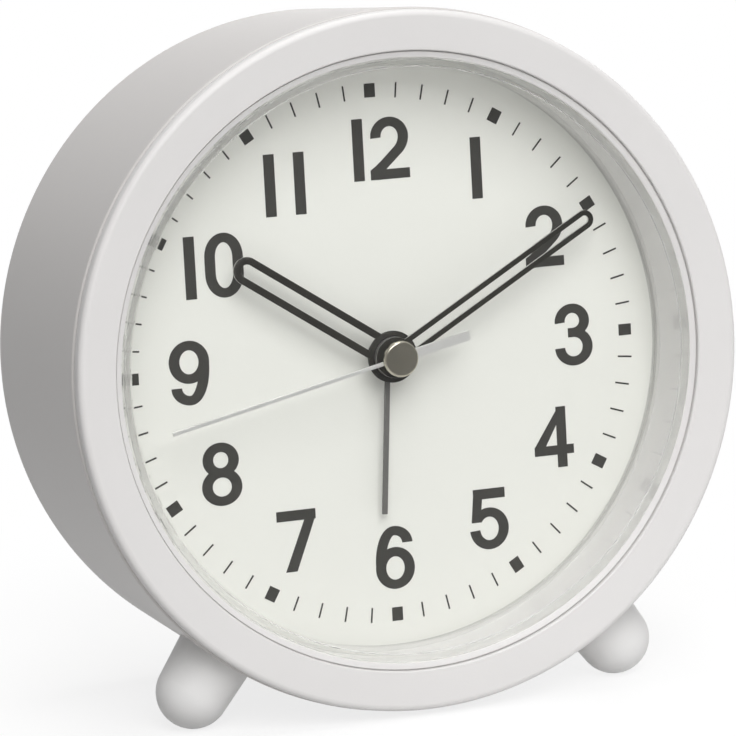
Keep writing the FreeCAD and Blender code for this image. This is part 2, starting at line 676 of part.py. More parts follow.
def make_lens():
    """The clear cup in front of the hands, held by its rear flange."""
    body = start("lens")
    turned(body, "cup", [
        ("lens_inner", "0"),
        ("dial_radius", "0"),
        ("dial_radius", "lens_flange"),
        ("lens_radius", "lens_flange"),
        ("lens_radius", "lens_front"),
        ("0", "lens_front"),
        ("0", "lens_inside"),
        ("lens_inner", "lens_inside"),
    ])
    soften_rings(body, "edge", "Fillet", "lens_edge", ("lens_radius", "lens_front"))


def make_dial():
    """The printed dial card."""
    body = start("dial")
    disc(body, "card", "plate_front", "0", "dial_radius", "dial_hole")


def make_dial_plate():
    """The stiff plate behind the card, which the movement is screwed to."""
    body = start("dial_plate")
    disc(body, "plate", "plate_back", "plate_front", "dial_radius", "dial_hole")
    bores(body, "pilots", "plate_back", "plate_front", "pilot_radius", LUGS)


def socket_sketch(body, side, distance):
    """A sketch square to a foot's axis, at a distance from the hands' axis."""
    sketch = drawing(body, f"({distance}) * cos(foot_angle)", "XZ_Plane")
    axis = Vector(0, side, 0)
    sketch.AttachmentOffset = FreeCAD.Placement(Vector(), FreeCAD.Rotation(axis, value("foot_angle")))
    drive(sketch, "AttachmentOffset.Rotation.Angle", "foot_angle")
    drive(sketch, "AttachmentOffset.Base.x", f"{side} * ({distance}) * sin(foot_angle)")
    drive(sketch, "AttachmentOffset.Base.y", "foot_forward")
    return sketch


def make_drum():
    """The drum, with dial ribs, cover posts, a ledge for the cover and two foot sockets."""
    body = start("case_drum")
    turned(body, "shell", [
        ("drum_inside", "drum_end"),
        ("drum_rear_radius", "drum_end"),
        ("drum_radius", "ring_back"),
        ("drum_bore", "ring_back"),
        ("drum_bore", "shoulder_height"),
        ("drum_inside", "shoulder_height"),
        ("drum_inside", "cover_inside + seat_depth"),
        ("drum_inside - seat_lip", "cover_inside + seat_depth"),
        ("drum_inside - seat_lip", "cover_inside"),
        ("drum_inside", "cover_inside"),
    ])
    soften_rings(body, "rear_edge", "Fillet", "drum_edge", ("drum_rear_radius", "drum_end"))
    soften_rings(body, "groove", "Chamfer", "drum_groove", ("drum_radius", "ring_back"))
    rib = block(body, "rib", "rib_end", "plate_back", "0 - rib_width / 2", "rib_width / 2",
                "drum_inside - rib_depth", "drum_inside + drum_root")
    repeat(body, "ribs", [rib], "rib_count")
    post = disc(body, "post", "cover_inside", "cover_inside + post_length", "post_radius",
                x="0", y="post_ring")
    repeat(body, "posts", [post], "cover_count")
    pilot = bores(body, "pilot", "cover_inside", "cover_inside + cover_screw_length",
                  "pilot_radius", [("0", "post_ring")])
    repeat(body, "pilots", [pilot], "cover_count")
    for side, name in ((-1, "left"), (1, "right")):
        seat = socket_sketch(body, side, "foot_centre")
        circle(seat, "foot_radius + foot_gap")
        cut(body, f"{name}_seat", seat, "foot_seat", "foot_centre")
        hole = socket_sketch(body, side, "foot_centre")
        circle(hole, "peg_radius + peg_gap")
        cut(body, f"{name}_peg_hole", hole, "drum_bore - peg_breakthrough", "foot_centre")


def make_foot(label, side):
    """One solid foot with a ball end, glued into the drum by its peg."""
    body = start(label)
    turned(body, "foot", [
        ("0", "foot_seat - peg_length"),
        ("peg_radius", "foot_seat - peg_length"),
        ("peg_radius", "foot_seat"),
        ("foot_radius", "foot_seat"),
        ("foot_tip_radius", "foot_centre"),
        ("0", "foot_centre + foot_tip_radius"),
    ], {4: "foot_tip_radius"})
    outward = Vector(side * value("sin(foot_angle)"), 0 - value("cos(foot_angle)"), 0)
    tilts[body.Name] = FreeCAD.Placement(
        Vector(0, 0, value("foot_forward")), FreeCAD.Rotation(Vector(0, 0, 1), outward))


def make_cover():
    """The rear cover, with the battery bay standing on its inner face."""
    body = start("rear_cover")
    disc(body, "plate", "cover_face", "cover_inside", "cover_radius")
    block(body, "bay", "cover_inside", "bay_top",
          "0 - bay_half_length - bay_wall", "bay_half_length + bay_wall",
          "bay_y - bay_half_width - bay_wall", "bay_y + bay_half_width + bay_wall")
    window(body, "bay_room", "cover_face", "bay_floor",
           "0 - bay_half_length", "bay_half_length",
           "bay_y - bay_half_width", "bay_y + bay_half_width")
    window(body, "door_seat", "cover_face", "door_inside + stop_gap",
           "0 - door_half_length", "door_half_length",
           "bay_y - door_half_width", "bay_y + door_half_width")
    pins = drawing(body, "pin_end + stop_gap", "YZ_Plane")
    circle(pins, "pin_radius + pivot_gap", "hinge_y", "hinge_z")
    cut(body, "hinge_holes", pins, "0 - pin_end - stop_gap", "pin_end + stop_gap")
    hole = bores(body, "screw_hole", "cover_face", "cover_inside",
                 "screw_radius + screw_clearance", [("0", "post_ring")])
    seat = bores(body, "screw_seat", "cover_face", "cover_face + screw_head_height",
                 "screw_head + screw_clearance", [("0", "post_ring")])
    repeat(body, "screw_holes", [hole, seat], "cover_count")
    bores(body, "shaft_holes", "cover_face", "cover_inside", "shaft_radius + shaft_gap", SET_SHAFTS)
    window(body, "switch_slot", "cover_face", "cover_inside",
           "switch_right - switch_neck / 2 - slide_gap", "switch_right + switch_neck / 2 + slide_gap",
           "switch_up - neck_half - switch_travel / 2 - slide_gap",
           "switch_up + neck_half + switch_travel / 2 + slide_gap")
    slots = drawing(body, "cover_inside")
    for number in range(int(value("sound_slots"))):
        shift = f"buzzer_up + ({number} - (sound_slots - 1) / 2) * sound_pitch"
        box(slots, "0 - buzzer_left - sound_length / 2", "0 - buzzer_left + sound_length / 2",
            f"{shift} - sound_width / 2", f"{shift} + sound_width / 2")
    cut(body, "sound_slots", slots, "cover_face", "cover_inside")


def screw(body, name, head, tip, x="0", y="0"):
    """One screw with its head at a level, pointing towards the dial from there."""
    disc(body, f"{name}_head", head, f"{head} + screw_head_height", "screw_head", x=x, y=y)
    disc(body, f"{name}_thread", f"{head} + screw_head_height", tip, "screw_radius", x=x, y=y)
    for across, along in (("screw_slot", "screw_cross"), ("screw_cross", "screw_slot")):
        window(body, f"{name}_slot", head, f"{head} + screw_slot_depth",
               f"{x} - {across} / 2", f"{x} + {across} / 2", f"{y} - {along} / 2", f"{y} + {along} / 2")


def screw_set(label, head, length, centres):
    """Equal screws as separate solids of one piece list entry."""
    first = start(f"{label}_pattern_piece")
    finished.remove(first)
    screw(first, "screw", head, f"{head} + screw_head_height + {length}")
    doc.recompute()
    group = doc.addObject("Part::Feature", label)
    group.Label = label
    copies = []
    for x, y in centres:
        copies.append(first.Shape.translated(Vector(value(x), value(y), 0)))
    group.Shape = Part.makeCompound(copies)
    places[group.Name] = ("0", "0", 0.0)
    finished.append(group)


def make_door():
    """The battery door, with its hinge barrel and pins, and a latch tongue."""
    body = start("battery_door")
    block(body, "panel", "cover_face", "door_inside",
          "door_play - door_half_length", "door_half_length - door_play", "hinge_y", "door_edge")
    barrel = drawing(body, "door_play - door_half_length", "YZ_Plane")
    circle(barrel, "barrel_radius", "hinge_y", "hinge_z")
    pad(body, "barrel", barrel, "door_play - door_half_length", "door_half_length - door_play")
    pins = drawing(body, "0 - pin_end", "YZ_Plane")
    circle(pins, "pin_radius", "hinge_y", "hinge_z")
    pad(body, "pins", pins, "0 - pin_end", "pin_end")
    for side, name in (("-1", "left"), ("1", "right")):
        inner = f"{side} * latch_width / 2"
        outer = f"{side} * (latch_width / 2 + latch_slot)"
        if side == "-1":
            inner, outer = outer, inner
        window(body, f"{name}_slot", "cover_face", "door_inside", inner, outer,
               "door_edge - latch_length", "door_edge")
    block(body, "latch_nub", "hinge_z - latch_nub / 2", "hinge_z + latch_nub / 2",
          "0 - finger_width / 2", "finger_width / 2", "door_edge - latch_nub",
          "door_edge + door_play - stop_gap")
    window(body, "finger_dip", "cover_face", "cover_face + latch_dip",
           "0 - finger_width / 2", "finger_width / 2",
           "door_edge - finger_inset - finger_height", "door_edge - finger_inset")


def make_battery():
    """The AA cell, with its positive end to the right."""
    body = start("battery_cell")
    left = "0 - (cell_length + cell_nub_height) / 2"
    shoulder = "(cell_length - cell_nub_height) / 2"
    right = "(cell_length + cell_nub_height) / 2"
    can = drawing(body, left, "YZ_Plane")
    circle(can, "cell_radius", "bay_y", "cell_z")
    pad(body, "can", can, left, shoulder)
    nub = drawing(body, shoulder, "YZ_Plane")
    circle(nub, "cell_nub_radius", "bay_y", "cell_z")
    pad(body, "nub", nub, shoulder, right)


def make_contacts():
    """The two spring plates at the ends of the battery bay."""
    reach = "(cell_length + cell_nub_height) / 2 + stop_gap"
    wall = "bay_half_length"
    low = "cell_z - contact_height / 2"
    for side, label in ((1, "positive_contact"), (-1, "negative_contact")):
        body = start(label)
        sketch = drawing(body, low)
        points = [
            (wall, "bay_y - contact_width / 2"),
            (wall, "bay_y + contact_width / 2"),
            (f"{wall} - contact_sheet", "bay_y + contact_width / 2"),
            (f"{reach} + contact_sheet", "bay_y + contact_bend / 2"),
            (reach, "bay_y + contact_bend / 2"),
            (reach, "bay_y - contact_bend / 2"),
            (f"{wall} - contact_sheet", "bay_y - contact_width / 2 + contact_sheet"),
            (f"{wall} - contact_sheet", "bay_y - contact_width / 2"),
        ]
        if side < 0:
            points = [(f"0 - ({x})", y) for x, y in reversed(points)]
        outline(sketch, points)
        pad(body, "leaf", sketch, low, "cell_z + contact_height / 2")


# ---------------------------------------------------------------------- hands

def open_hand(label, angle, top, collar, hub, tube, width, slot, length):
    """A hand with a round end, an open slot and a collar down to a level, drawn at twelve."""
    body = start(label, turn=0 - value(angle))
    bottom = f"{top} - hand_thickness"
    disc(body, "hub", collar, top, hub)
    block(body, "blade", bottom, top, f"0 - {width} / 2", f"{width} / 2", "0", f"{length} - {width} / 2")
    disc(body, "end", bottom, top, f"{width} / 2", y=f"{length} - {width} / 2")
    window(body, "slot", bottom, top, f"0 - {slot} / 2", f"{slot} / 2",
           f"{hub} + slot_start", f"{length} - {width} / 2")
    bores(body, "slot_end", bottom, top, f"{slot} / 2", [("0", f"{length} - {width} / 2")])
    bores(body, "tube_hole", collar, top, tube)


def make_alarm_hand():
    """The thin alarm hand, a plain bar."""
    body = start("alarm_hand", turn=0 - value("alarm_angle"))
    disc(body, "hub", "alarm_height - hand_thickness", "alarm_height", "alarm_hub")
    block(body, "blade", "alarm_height - hand_thickness", "alarm_height",
          "0 - alarm_width / 2", "alarm_width / 2", "0", "alarm_length")
    bores(body, "tube_hole", "alarm_height - hand_thickness", "alarm_height", "alarm_tube")


def make_second_hand():
    """The second hand, a needle with a short flat tail and a boss on its arbor."""
    body = start("second_hand", turn=0 - value("second_angle"))
    bottom = "second_height - hand_thickness"
    block(body, "needle", bottom, "second_height",
          "0 - second_width / 2", "second_width / 2", "0", "second_length")
    block(body, "tail", bottom, "second_height",
          "0 - tail_width / 2", "tail_width / 2", "0 - second_tail", "0")
    disc(body, "boss", "second_height - boss_height", "second_height", "boss_radius")
    bores(body, "arbor_hole", "second_height - boss_height", "second_height", "arbor_radius")


def make_cap():
    """The metal cap over the middle of the hands."""
    body = start("hand_cap")
    disc(body, "cap", "second_height", "cap_height", "cap_radius")
    soften_rings(body, "edge", "Chamfer", "cap_chamfer", ("cap_radius", "cap_height"))


# ------------------------------------------------------------------- movement

def make_front_housing():
    """The movement's front half: plate, side walls, centre bush, posts and lugs."""
    body = start("movement_front_housing")
    left, right = "0 - housing_right", "housing_right"
    low, high = "0 - housing_bottom", "housing_top"
    block(body, "box", "lid_inside", "plate_back", left, right, low, high)
    soften_corners(body, "corners", "housing_corner", "lid_inside", left, right, low, high)
    window(body, "room", "lid_inside", "housing_inside",
           f"{left} + housing_wall", f"{right} - housing_wall",
           f"{low} + housing_wall", f"{high} - housing_wall")
    discs(body, "bosses", "lid_inside", "plate_back", "housing_boss", HOUSING_SCREWS)
    disc(body, "bush", "housing_inside", "bush_height", "bush_radius")
    bores(body, "bush_bore", "housing_inside", "bush_height", "alarm_tube + tube_gap")
    bores(body, "pivots", "housing_inside", "front_pivot + stop_gap", "pivot_radius + pivot_gap",
          TRAIN_ARBORS + SET_SHAFTS)
    discs(body, "motion_stud", "motion_top - wheel_face - stud_end", "housing_inside", "stud_radius",
          [("motion_x", "motion_y")])
    discs(body, "stator_posts", "stator_top", "housing_inside", "post_foot", STATOR_STAKES)
    discs(body, "stator_stakes", "stator_top - iron - stake_rise", "stator_top", "stake_radius",
          STATOR_STAKES)
    discs(body, "core_posts", "core_top", "housing_inside", "post_foot", CORE_STAKES)
    discs(body, "core_stakes", "stator_top - iron - stake_rise", "core_top", "stake_radius", CORE_STAKES)
    bores(body, "pilots", "lid_inside", "lid_inside + housing_screw_length", "pilot_radius",
          HOUSING_SCREWS)
    for side in ("-1", "1"):
        x = f"{side} * lug_right"
        disc(body, "lug", "plate_back - lug_thickness", "plate_back", "lug_radius", x=x, y="lug_up")
    inner = "housing_right - housing_wall / 2"
    block(body, "right_lug_web", "plate_back - lug_thickness", "plate_back", inner, "lug_right",
          "lug_up - lug_radius", "lug_up + lug_radius")
    block(body, "left_lug_web", "plate_back - lug_thickness", "plate_back", "0 - lug_right",
          f"0 - ({inner})", "lug_up - lug_radius", "lug_up + lug_radius")
    bores(body, "lug_holes", "plate_back - lug_thickness", "plate_back",
          "screw_radius + screw_clearance", LUGS)


def make_rear_housing():
    """The movement's rear lid, with the rear pivot holes."""
    body = start("movement_rear_housing")
    edges = ("0 - housing_right", "housing_right", "0 - housing_bottom", "housing_top")
    block(body, "lid", "lid_back", "lid_inside", *edges)
    soften_corners(body, "corners", "housing_corner", "lid_inside", *edges)
    bores(body, "pivots", "rear_pivot - stop_gap", "lid_inside", "pivot_radius + pivot_gap",
          TRAIN_ARBORS)
    bores(body, "arbor_pivot", "rear_pivot - stop_gap", "lid_inside", "arbor_radius + pivot_gap")
    bores(body, "shaft_holes", "lid_back", "lid_inside", "shaft_radius + pivot_gap", SET_SHAFTS)
    bores(body, "screw_holes", "lid_back", "lid_inside", "screw_radius + screw_clearance",
          HOUSING_SCREWS)


def make_second_arbor():
    """The steel arbor that turns the second hand."""
    body = start("second_arbor")
    disc(body, "arbor", "rear_pivot", "second_height", "arbor_radius")


def make_wheel_with_pinion(label, x, y, angle, wheel, pinion, pivot=True):
    """A moulded wheel and pinion, with its two pivots or with a hole for an arbor."""
    body = start(label, x, y, angle)
    wheel_top, wheel_module, wheel_teeth = wheel
    pinion_top, pinion_module = pinion
    hole = None if pivot else "arbor_radius"
    disc(body, "hub", f"{wheel_top} - wheel_face", pinion_top, f"({pinion_module}) * hub_share", hole)
    teeth(body, "wheel", f"{wheel_top} - wheel_face", wheel_top, wheel_module, wheel_teeth, hole)
    teeth(body, "pinion", f"{pinion_top} - wheel_face - pinion_extra", pinion_top, pinion_module,
          "leaves", hole)
    if pivot:
        disc(body, "pivots", "rear_pivot", "front_pivot", "pivot_radius")
    return body


def make_centre_work():
    """Cannon pinion, centre wheel and the clutch spring between them."""
    cannon = start("cannon_pinion")
    teeth(cannon, "pinion", "motion_top - wheel_face", "motion_top", "motion_module", "cannon_teeth",
          "cannon_bore")
    disc(cannon, "tube", "motion_top", "minute_height", "minute_tube", "cannon_bore")
    wheel = start("centre_wheel", turn=centre_angle)
    teeth(wheel, "wheel", "centre_top - wheel_face", "centre_top", "centre_module", "centre_teeth",
          "arbor_radius + pivot_gap")
    spring = start("clutch_spring")
    disc(spring, "washer", "centre_top", "motion_top - wheel_face", "spring_radius", "cannon_bore")


def make_hour_wheel():
    """The hour wheel and its tube."""
    body = start("hour_wheel", turn=hour_wheel_angle)
    teeth(body, "wheel", "hour_top - wheel_face", "hour_top", "hour_module", "hour_teeth", "hour_bore")
    disc(body, "tube", "hour_top", "hour_height", "hour_tube", "hour_bore")


def make_alarm_wheel():
    """The alarm wheel and its tube."""
    body = start("alarm_wheel", turn=alarm_wheel_angle)
    teeth(body, "wheel", "alarm_top - wheel_face", "alarm_top", "alarm_module", "alarm_teeth",
          "alarm_bore")
    disc(body, "tube", "alarm_top", "alarm_height", "alarm_tube", "alarm_bore")


def make_motion_wheel():
    """The motion wheel, which turns on the stud of the front housing."""
    body = start("motion_wheel", "motion_x", "motion_y", motion_angle)
    hole = "stud_radius + pivot_gap"
    teeth(body, "wheel", "motion_top - wheel_face", "motion_top", "motion_module", "motion_teeth", hole)
    disc(body, "hub", "motion_top", "hour_top - wheel_face", "hour_module * hub_share", hole)
    teeth(body, "pinion", "hour_top - wheel_face", "hour_top", "hour_module", "leaves", hole)


def make_rotor():
    """The rotor's pinion and arbor, with its round magnet."""
    rotor = start("rotor", "rotor_x", "rotor_y", rotor_angle)
    teeth(rotor, "pinion", "step_top - wheel_face - pinion_extra", "step_top + pinion_extra",
          "rotor_module", "leaves")
    disc(rotor, "arbor", "rear_pivot", "front_pivot", "pivot_radius")
    disc(rotor, "seat", "step_top + pinion_extra", "magnet_bottom", "rotor_module * hub_share")
    magnet = start("rotor_magnet", "rotor_x", "rotor_y")
    disc(magnet, "magnet", "magnet_bottom", "magnet_bottom + magnet_length", "magnet_radius",
         "pivot_radius")


def make_motor():
    """Stator, coil core, bobbin and winding."""
    stator = start("stator")
    left, right = "0 - stator_left", "stator_right"
    bottom = "stator_top - iron"
    low = "rotor_y - stator_margin"
    high = "rotor_y + stator_margin"
    block(stator, "plate", bottom, "stator_top", left, right, low, high)
    block(stator, "left_arm", bottom, "stator_top", left, f"{left} + stator_arm", high, "core_high")
    block(stator, "right_arm", bottom, "stator_top", f"{right} - stator_arm", right, high, "core_high")
    bores(stator, "rotor_hole", bottom, "stator_top", "magnet_radius + air_gap",
          [("rotor_x", "rotor_y")])
    bores(stator, "stake_holes", bottom, "stator_top", "stake_radius + peg_gap",
          STATOR_STAKES + CORE_STAKES)
    core = start("coil_core")
    block(core, "bar", "stator_top", "core_top", left, right, "core_low", "core_high")
    bores(core, "stake_holes", "stator_top", "core_top", "stake_radius + peg_gap", CORE_STAKES)
    bobbin = start("coil_bobbin")
    for name, start_x in (("left_flange", "bobbin_left"), ("right_flange", "bobbin_right - bobbin_flange")):
        block(bobbin, name, "core_middle - bobbin_size / 2", "core_middle + bobbin_size / 2",
              start_x, f"{start_x} + bobbin_flange",
              "core_centre - bobbin_size / 2", "core_centre + bobbin_size / 2")
    block(bobbin, "sleeve", "stator_top - bobbin_wall", "core_top + bobbin_wall",
          "bobbin_left", "bobbin_right", "core_low - bobbin_wall", "core_high + bobbin_wall")
    window(bobbin, "core_room", "stator_top", "core_top",
           "bobbin_left", "bobbin_right", "core_low", "core_high")
    winding = start("coil_winding")
    inside, outside = "bobbin_left + bobbin_flange", "bobbin_right - bobbin_flange"
    wire = drawing(winding, inside, "YZ_Plane")
    circle(wire, "winding_radius", "core_centre", "core_middle")
    pad(winding, "wire", wire, inside, outside)
    window(winding, "sleeve_room", "stator_top - bobbin_wall", "core_top + bobbin_wall",
           inside, outside, "core_low - bobbin_wall", "core_high + bobbin_wall")


def make_electronics():
    """Circuit board, chip under its round cover, and the quartz can."""
    board = start("circuit_board")
    block(board, "board", "lid_inside", "lid_inside + board_thickness",
          "0 - board_left", "0 - board_right", "0 - board_bottom", "board_top")
    top = "lid_inside + board_thickness"
    chip = start("chip_cover", "0 - (board_left + board_right) / 2", "board_part_drop / 2")
    disc(chip, "cover", top, f"{top} + blob_height", "blob_radius")
    soften_rings(chip, "dome", "Fillet", "blob_height / 2", ("blob_radius", f"{top} + blob_height"))
    can = start("quartz_can", "0 - (board_left + board_right) / 2")
    tube = drawing(can, "0 - crystal_length / 2", "YZ_Plane")
    circle(tube, "crystal_radius", "0 - board_part_drop / 2", f"{top} + crystal_radius")
    pad(can, "can", tube, "0 - crystal_length / 2", "crystal_length / 2")


def make_set_shaft(label, x, y, angle, top, module, count):
    """A setting shaft: a gear inside the movement and a stem out of the back."""
    body = start(label, x, y, angle)
    teeth(body, "gear", f"{top} - wheel_face", top, module, count)
    disc(body, "stem", "knob_front - knob_socket", f"{top} - wheel_face", "shaft_radius")
    disc(body, "pivot", top, "front_pivot", "pivot_radius")


# ----------------------------------------------------------- back of the clock

def make_knob(label, x, y):
    """A fluted knob pushed on a setting shaft."""
    body = start(label, x, y)
    end = "knob_front - knob_length"
    disc(body, "knob", end, "knob_front", "knob_radius")
    soften_rings(body, "edge", "Fillet", "knob_edge", ("knob_radius", end))
    flute = bores(body, "flute", end, "knob_front", "flute_radius",
                  [("knob_radius + flute_radius - flute_depth", "0")])
    repeat(body, "flutes", [flute], "knob_flutes")
    bores(body, "socket", "knob_front - knob_socket", "knob_front", "shaft_radius")


def make_switch():
    """The alarm switch: slider, guide and the two contact leaves."""
    slider = start("alarm_switch_slider", "switch_right", "switch_up - switch_travel / 2")
    half = "switch_neck / 2"
    side = "switch_neck / 2 + switch_side"
    block(slider, "neck", "cover_face - slide_gap", "cover_inside + slide_gap",
          f"0 - {half}", half, "0 - neck_half", "neck_half")
    block(slider, "grip", "cover_face - slide_gap - switch_stand", "cover_face - slide_gap",
          f"0 - ({side})", side, "0 - switch_grip / 2", "switch_grip / 2")
    block(slider, "flange", "cover_inside + slide_gap", "flange_top",
          f"0 - ({side})", side, "0 - switch_grip / 2", "switch_grip / 2")
    guide = start("switch_guide", "switch_right", "switch_up")
    room = f"({side}) + slide_gap"
    run = "switch_grip / 2 + switch_travel / 2 + slide_gap"
    block(guide, "bracket", "cover_inside", "flange_top + slide_gap + guide_thickness",
          f"0 - ({room}) - guide_thickness", f"{room} + guide_thickness",
          f"0 - ({run}) - guide_thickness", f"{run} + guide_thickness")
    window(guide, "track", "cover_inside", "flange_top + slide_gap",
           f"0 - ({room})", room, f"0 - ({run})", run)
    leaves = start("switch_contacts", "switch_right", "switch_up")
    base = "flange_top + slide_gap + guide_thickness"
    block(leaves, "foot", base, f"{base} + leaf_thickness",
          f"0 - {half}", half, f"0 - ({run})", run)
    for name, low, high in (("low_tab", f"0 - ({run})", f"leaf_thickness - ({run})"),
                            ("high_tab", f"{run} - leaf_thickness", run)):
        block(leaves, name, base, f"{base} + leaf_tab", f"0 - {half}", half, low, high)


def make_buzzer():
    """The buzzer: a ring on the cover and the brass disc that closes it."""
    ring = start("buzzer_ring", "0 - buzzer_left", "buzzer_up")
    disc(ring, "ring", "cover_inside", "cover_inside + buzzer_height", "buzzer_radius",
         "buzzer_radius - buzzer_ring")
    plate = start("buzzer_disc", "0 - buzzer_left", "buzzer_up")
    disc(plate, "disc", "cover_inside + buzzer_height", "cover_inside + buzzer_height + buzzer_sheet",
         "buzzer_radius")
    crystal = start("buzzer_crystal", "0 - buzzer_left", "buzzer_up")
    disc(crystal, "crystal", "cover_inside + buzzer_height + buzzer_sheet",
         "cover_inside + buzzer_height + buzzer_sheet + crystal_sheet", "buzzer_radius * crystal_share")


# ------------------------------------------------------------ making the clock

LUGS = [("0 - lug_right", "lug_up"), ("lug_right", "lug_up")]
TRAIN_ARBORS = [("third_x", "third_y"), ("step_x", "step_y"), ("rotor_x", "rotor_y")]
SET_SHAFTS = [("time_x", "time_y"), ("alarm_x", "alarm_y")]
HOUSING_SCREWS = [
    (x, y)
    for x in ("boss_inset - housing_right", "housing_right - boss_inset")
    for y in ("boss_inset - housing_bottom", "housing_top - boss_inset")
]
STATOR_STAKES = [
    ("stake_inset - stator_left", "rotor_y"),
    ("stator_right - stake_inset", "rotor_y"),
]
CORE_STAKES = [
    ("stake_inset - stator_left", "core_centre"),
    ("stator_right - stake_inset", "core_centre"),
]
tilts = {}

# the train is meshed outwards from the cannon pinion, which has a tooth at angle 0
motion_angle = mesh_angle("motion_direction", "motion_teeth", "cannon_teeth", 0.0)
time_angle = mesh_angle("motion_direction", "time_set_teeth", "motion_teeth", motion_angle)
hour_wheel_angle = mesh_angle("motion_direction + 180", "hour_teeth", "leaves", motion_angle)
alarm_wheel_angle = 0.0
alarm_set_angle = mesh_angle("alarm_direction", "alarm_set_teeth", "alarm_teeth", alarm_wheel_angle)
centre_angle = 0.0
third_angle = mesh_angle("third_direction", "leaves", "centre_teeth", centre_angle)
second_wheel_angle = mesh_angle("third_direction + 180", "leaves", "third_teeth", third_angle)
step_angle = mesh_angle("step_direction", "leaves", "seconds_teeth", second_wheel_angle)
rotor_angle = mesh_angle("rotor_direction", "leaves", "step_teeth", step_angle)

make_bezel()
make_lens()
make_dial()
make_dial_plate()
make_drum()
make_foot("left_foot", -1)
make_foot("right_foot", 1)
make_cover()
make_door()
make_battery()
make_contacts()
open_hand("hour_hand", "hour_angle", "hour_height", "hour_height - hand_thickness", "hour_hub",
          "hour_tube", "hour_width", "hour_slot", "hour_length")
open_hand("minute_hand", "minute_angle", "minute_height", "hour_height + hand_gap", "minute_hub",
          "minute_tube", "minute_width", "minute_slot", "minute_length")
make_alarm_hand()
make_second_hand()
make_cap()
make_front_housing()
make_rear_housing()
make_second_arbor()
make_centre_work()
make_hour_wheel()
make_alarm_wheel()
make_motion_wheel()
make_wheel_with_pinion("third_wheel", "third_x", "third_y", third_angle,
                       ("third_top", "third_module", "third_teeth"),
                       ("centre_top + pinion_extra", "centre_module"))
make_wheel_with_pinion("second_wheel", "0", "0", second_wheel_angle,
                       ("seconds_top", "seconds_module", "seconds_teeth"),
                       ("third_top + pinion_extra", "third_module"), pivot=False)
make_wheel_with_pinion("step_wheel", "step_x", "step_y", step_angle,
                       ("step_top", "rotor_module", "step_teeth"),
                       ("seconds_top + pinion_extra", "seconds_module"))
make_rotor()
make_motor()
make_electronics()
make_set_shaft("time_set_shaft", "time_x", "time_y", time_angle, "motion_top", "motion_module",
               "time_set_teeth")
make_set_shaft("alarm_set_shaft", "alarm_x", "alarm_y", alarm_set_angle, "alarm_top", "alarm_module",
               "alarm_set_teeth")
make_knob("time_knob", "time_x", "time_y")
make_knob("alarm_knob", "alarm_x", "alarm_y")
make_switch()
make_buzzer()
screw_set("cover_screws", "cover_face", "cover_screw_length - screw_grip", [
    (f"post_ring * cos(90 + 360 / cover_count * {turn})", f"post_ring * sin(90 + 360 / cover_count * {turn})")
    for turn in range(int(value("cover_count")))
])
screw_set("housing_screws", "lid_back - screw_head_height", "housing_screw_length", HOUSING_SCREWS)
screw_set("mount_screws", "plate_back - lug_thickness - screw_head_height", "mount_screw_length", LUGS)
doc.recompute()

# ------------------------------------------------- standing it on feet and rim

# The lean brings the foot ball and the round of the rear rim down to one floor.
taper = math.atan(value("drum_draft") / value("ring_back + drum_back"))
rim_y = value("drum_edge") * (1 / math.cos(taper) - math.tan(taper)) - value("drum_rear_radius")
rim_z = value("drum_edge - drum_back")
ball_y = 0 - value("foot_centre * cos(foot_angle)")
ball_z = value("foot_forward")
rise = ball_y - rim_y
reach = ball_z - rim_z
drop = value("foot_tip_radius - drum_edge")
lean = math.asin(drop / math.hypot(rise, reach)) - math.atan2(rise, reach)
height = value("foot_tip_radius") - ball_y * math.cos(lean) - ball_z * math.sin(lean)
upright = FreeCAD.Rotation(Vector(1, 0, 0), 90 - math.degrees(lean))

for body in finished:
    x, y, turn = places[body.Name]
    own = FreeCAD.Placement(Vector(value(x), value(y), 0), FreeCAD.Rotation(Vector(0, 0, 1), turn))
    own = own.multiply(tilts.get(body.Name, FreeCAD.Placement()))
    body.Placement = FreeCAD.Placement(Vector(0, 0, height), upright).multiply(own)
doc.recompute()

# The origin lies under the middle of the whole clock.
boxes = [body.Shape.optimalBoundingBox(False, False) for body in finished]
middle = (min(limits.YMin for limits in boxes) + max(limits.YMax for limits in boxes)) / 2
for body in finished:
    body.Placement.Base.y -= middle
doc.recompute()

# -------------------------------------------------------------------- checking

for item in doc.Objects:
    if "Invalid" in item.State or "Error" in item.State:
        raise RuntimeError(f"{item.Label} failed: {item.State}")
for body in finished:
    if body.Shape.isNull() or not body.Shape.isValid() or body.Shape.Volume <= 0:
        raise RuntimeError(f"{body.Label} has no valid solid")

os.makedirs("parts", exist_ok=True)
for body in finished:
    body.Shape.exportStep(f"parts/{body.Label}.step")
print(f"{len(finished)} pieces, leaning {math.degrees(lean):.4f} degrees")
print(f"dial centre {0 - middle:.4f} behind the origin and {height:.4f} above it")
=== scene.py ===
"""Dresses the CAD frame of a round bedside alarm clock with finished pieces.

Lengths are in metres.  Pieces are modelled in the dial's own frame, with X to the
right, Y up the dial, Z out of it and the origin where the hands' axis meets the
dial's printed face.  One matrix then stands them up.
"""
import json
import math

import bmesh
import bpy
from bpy.props import FloatProperty, FloatVectorProperty, IntProperty, PointerProperty
from mathutils import Matrix, Vector


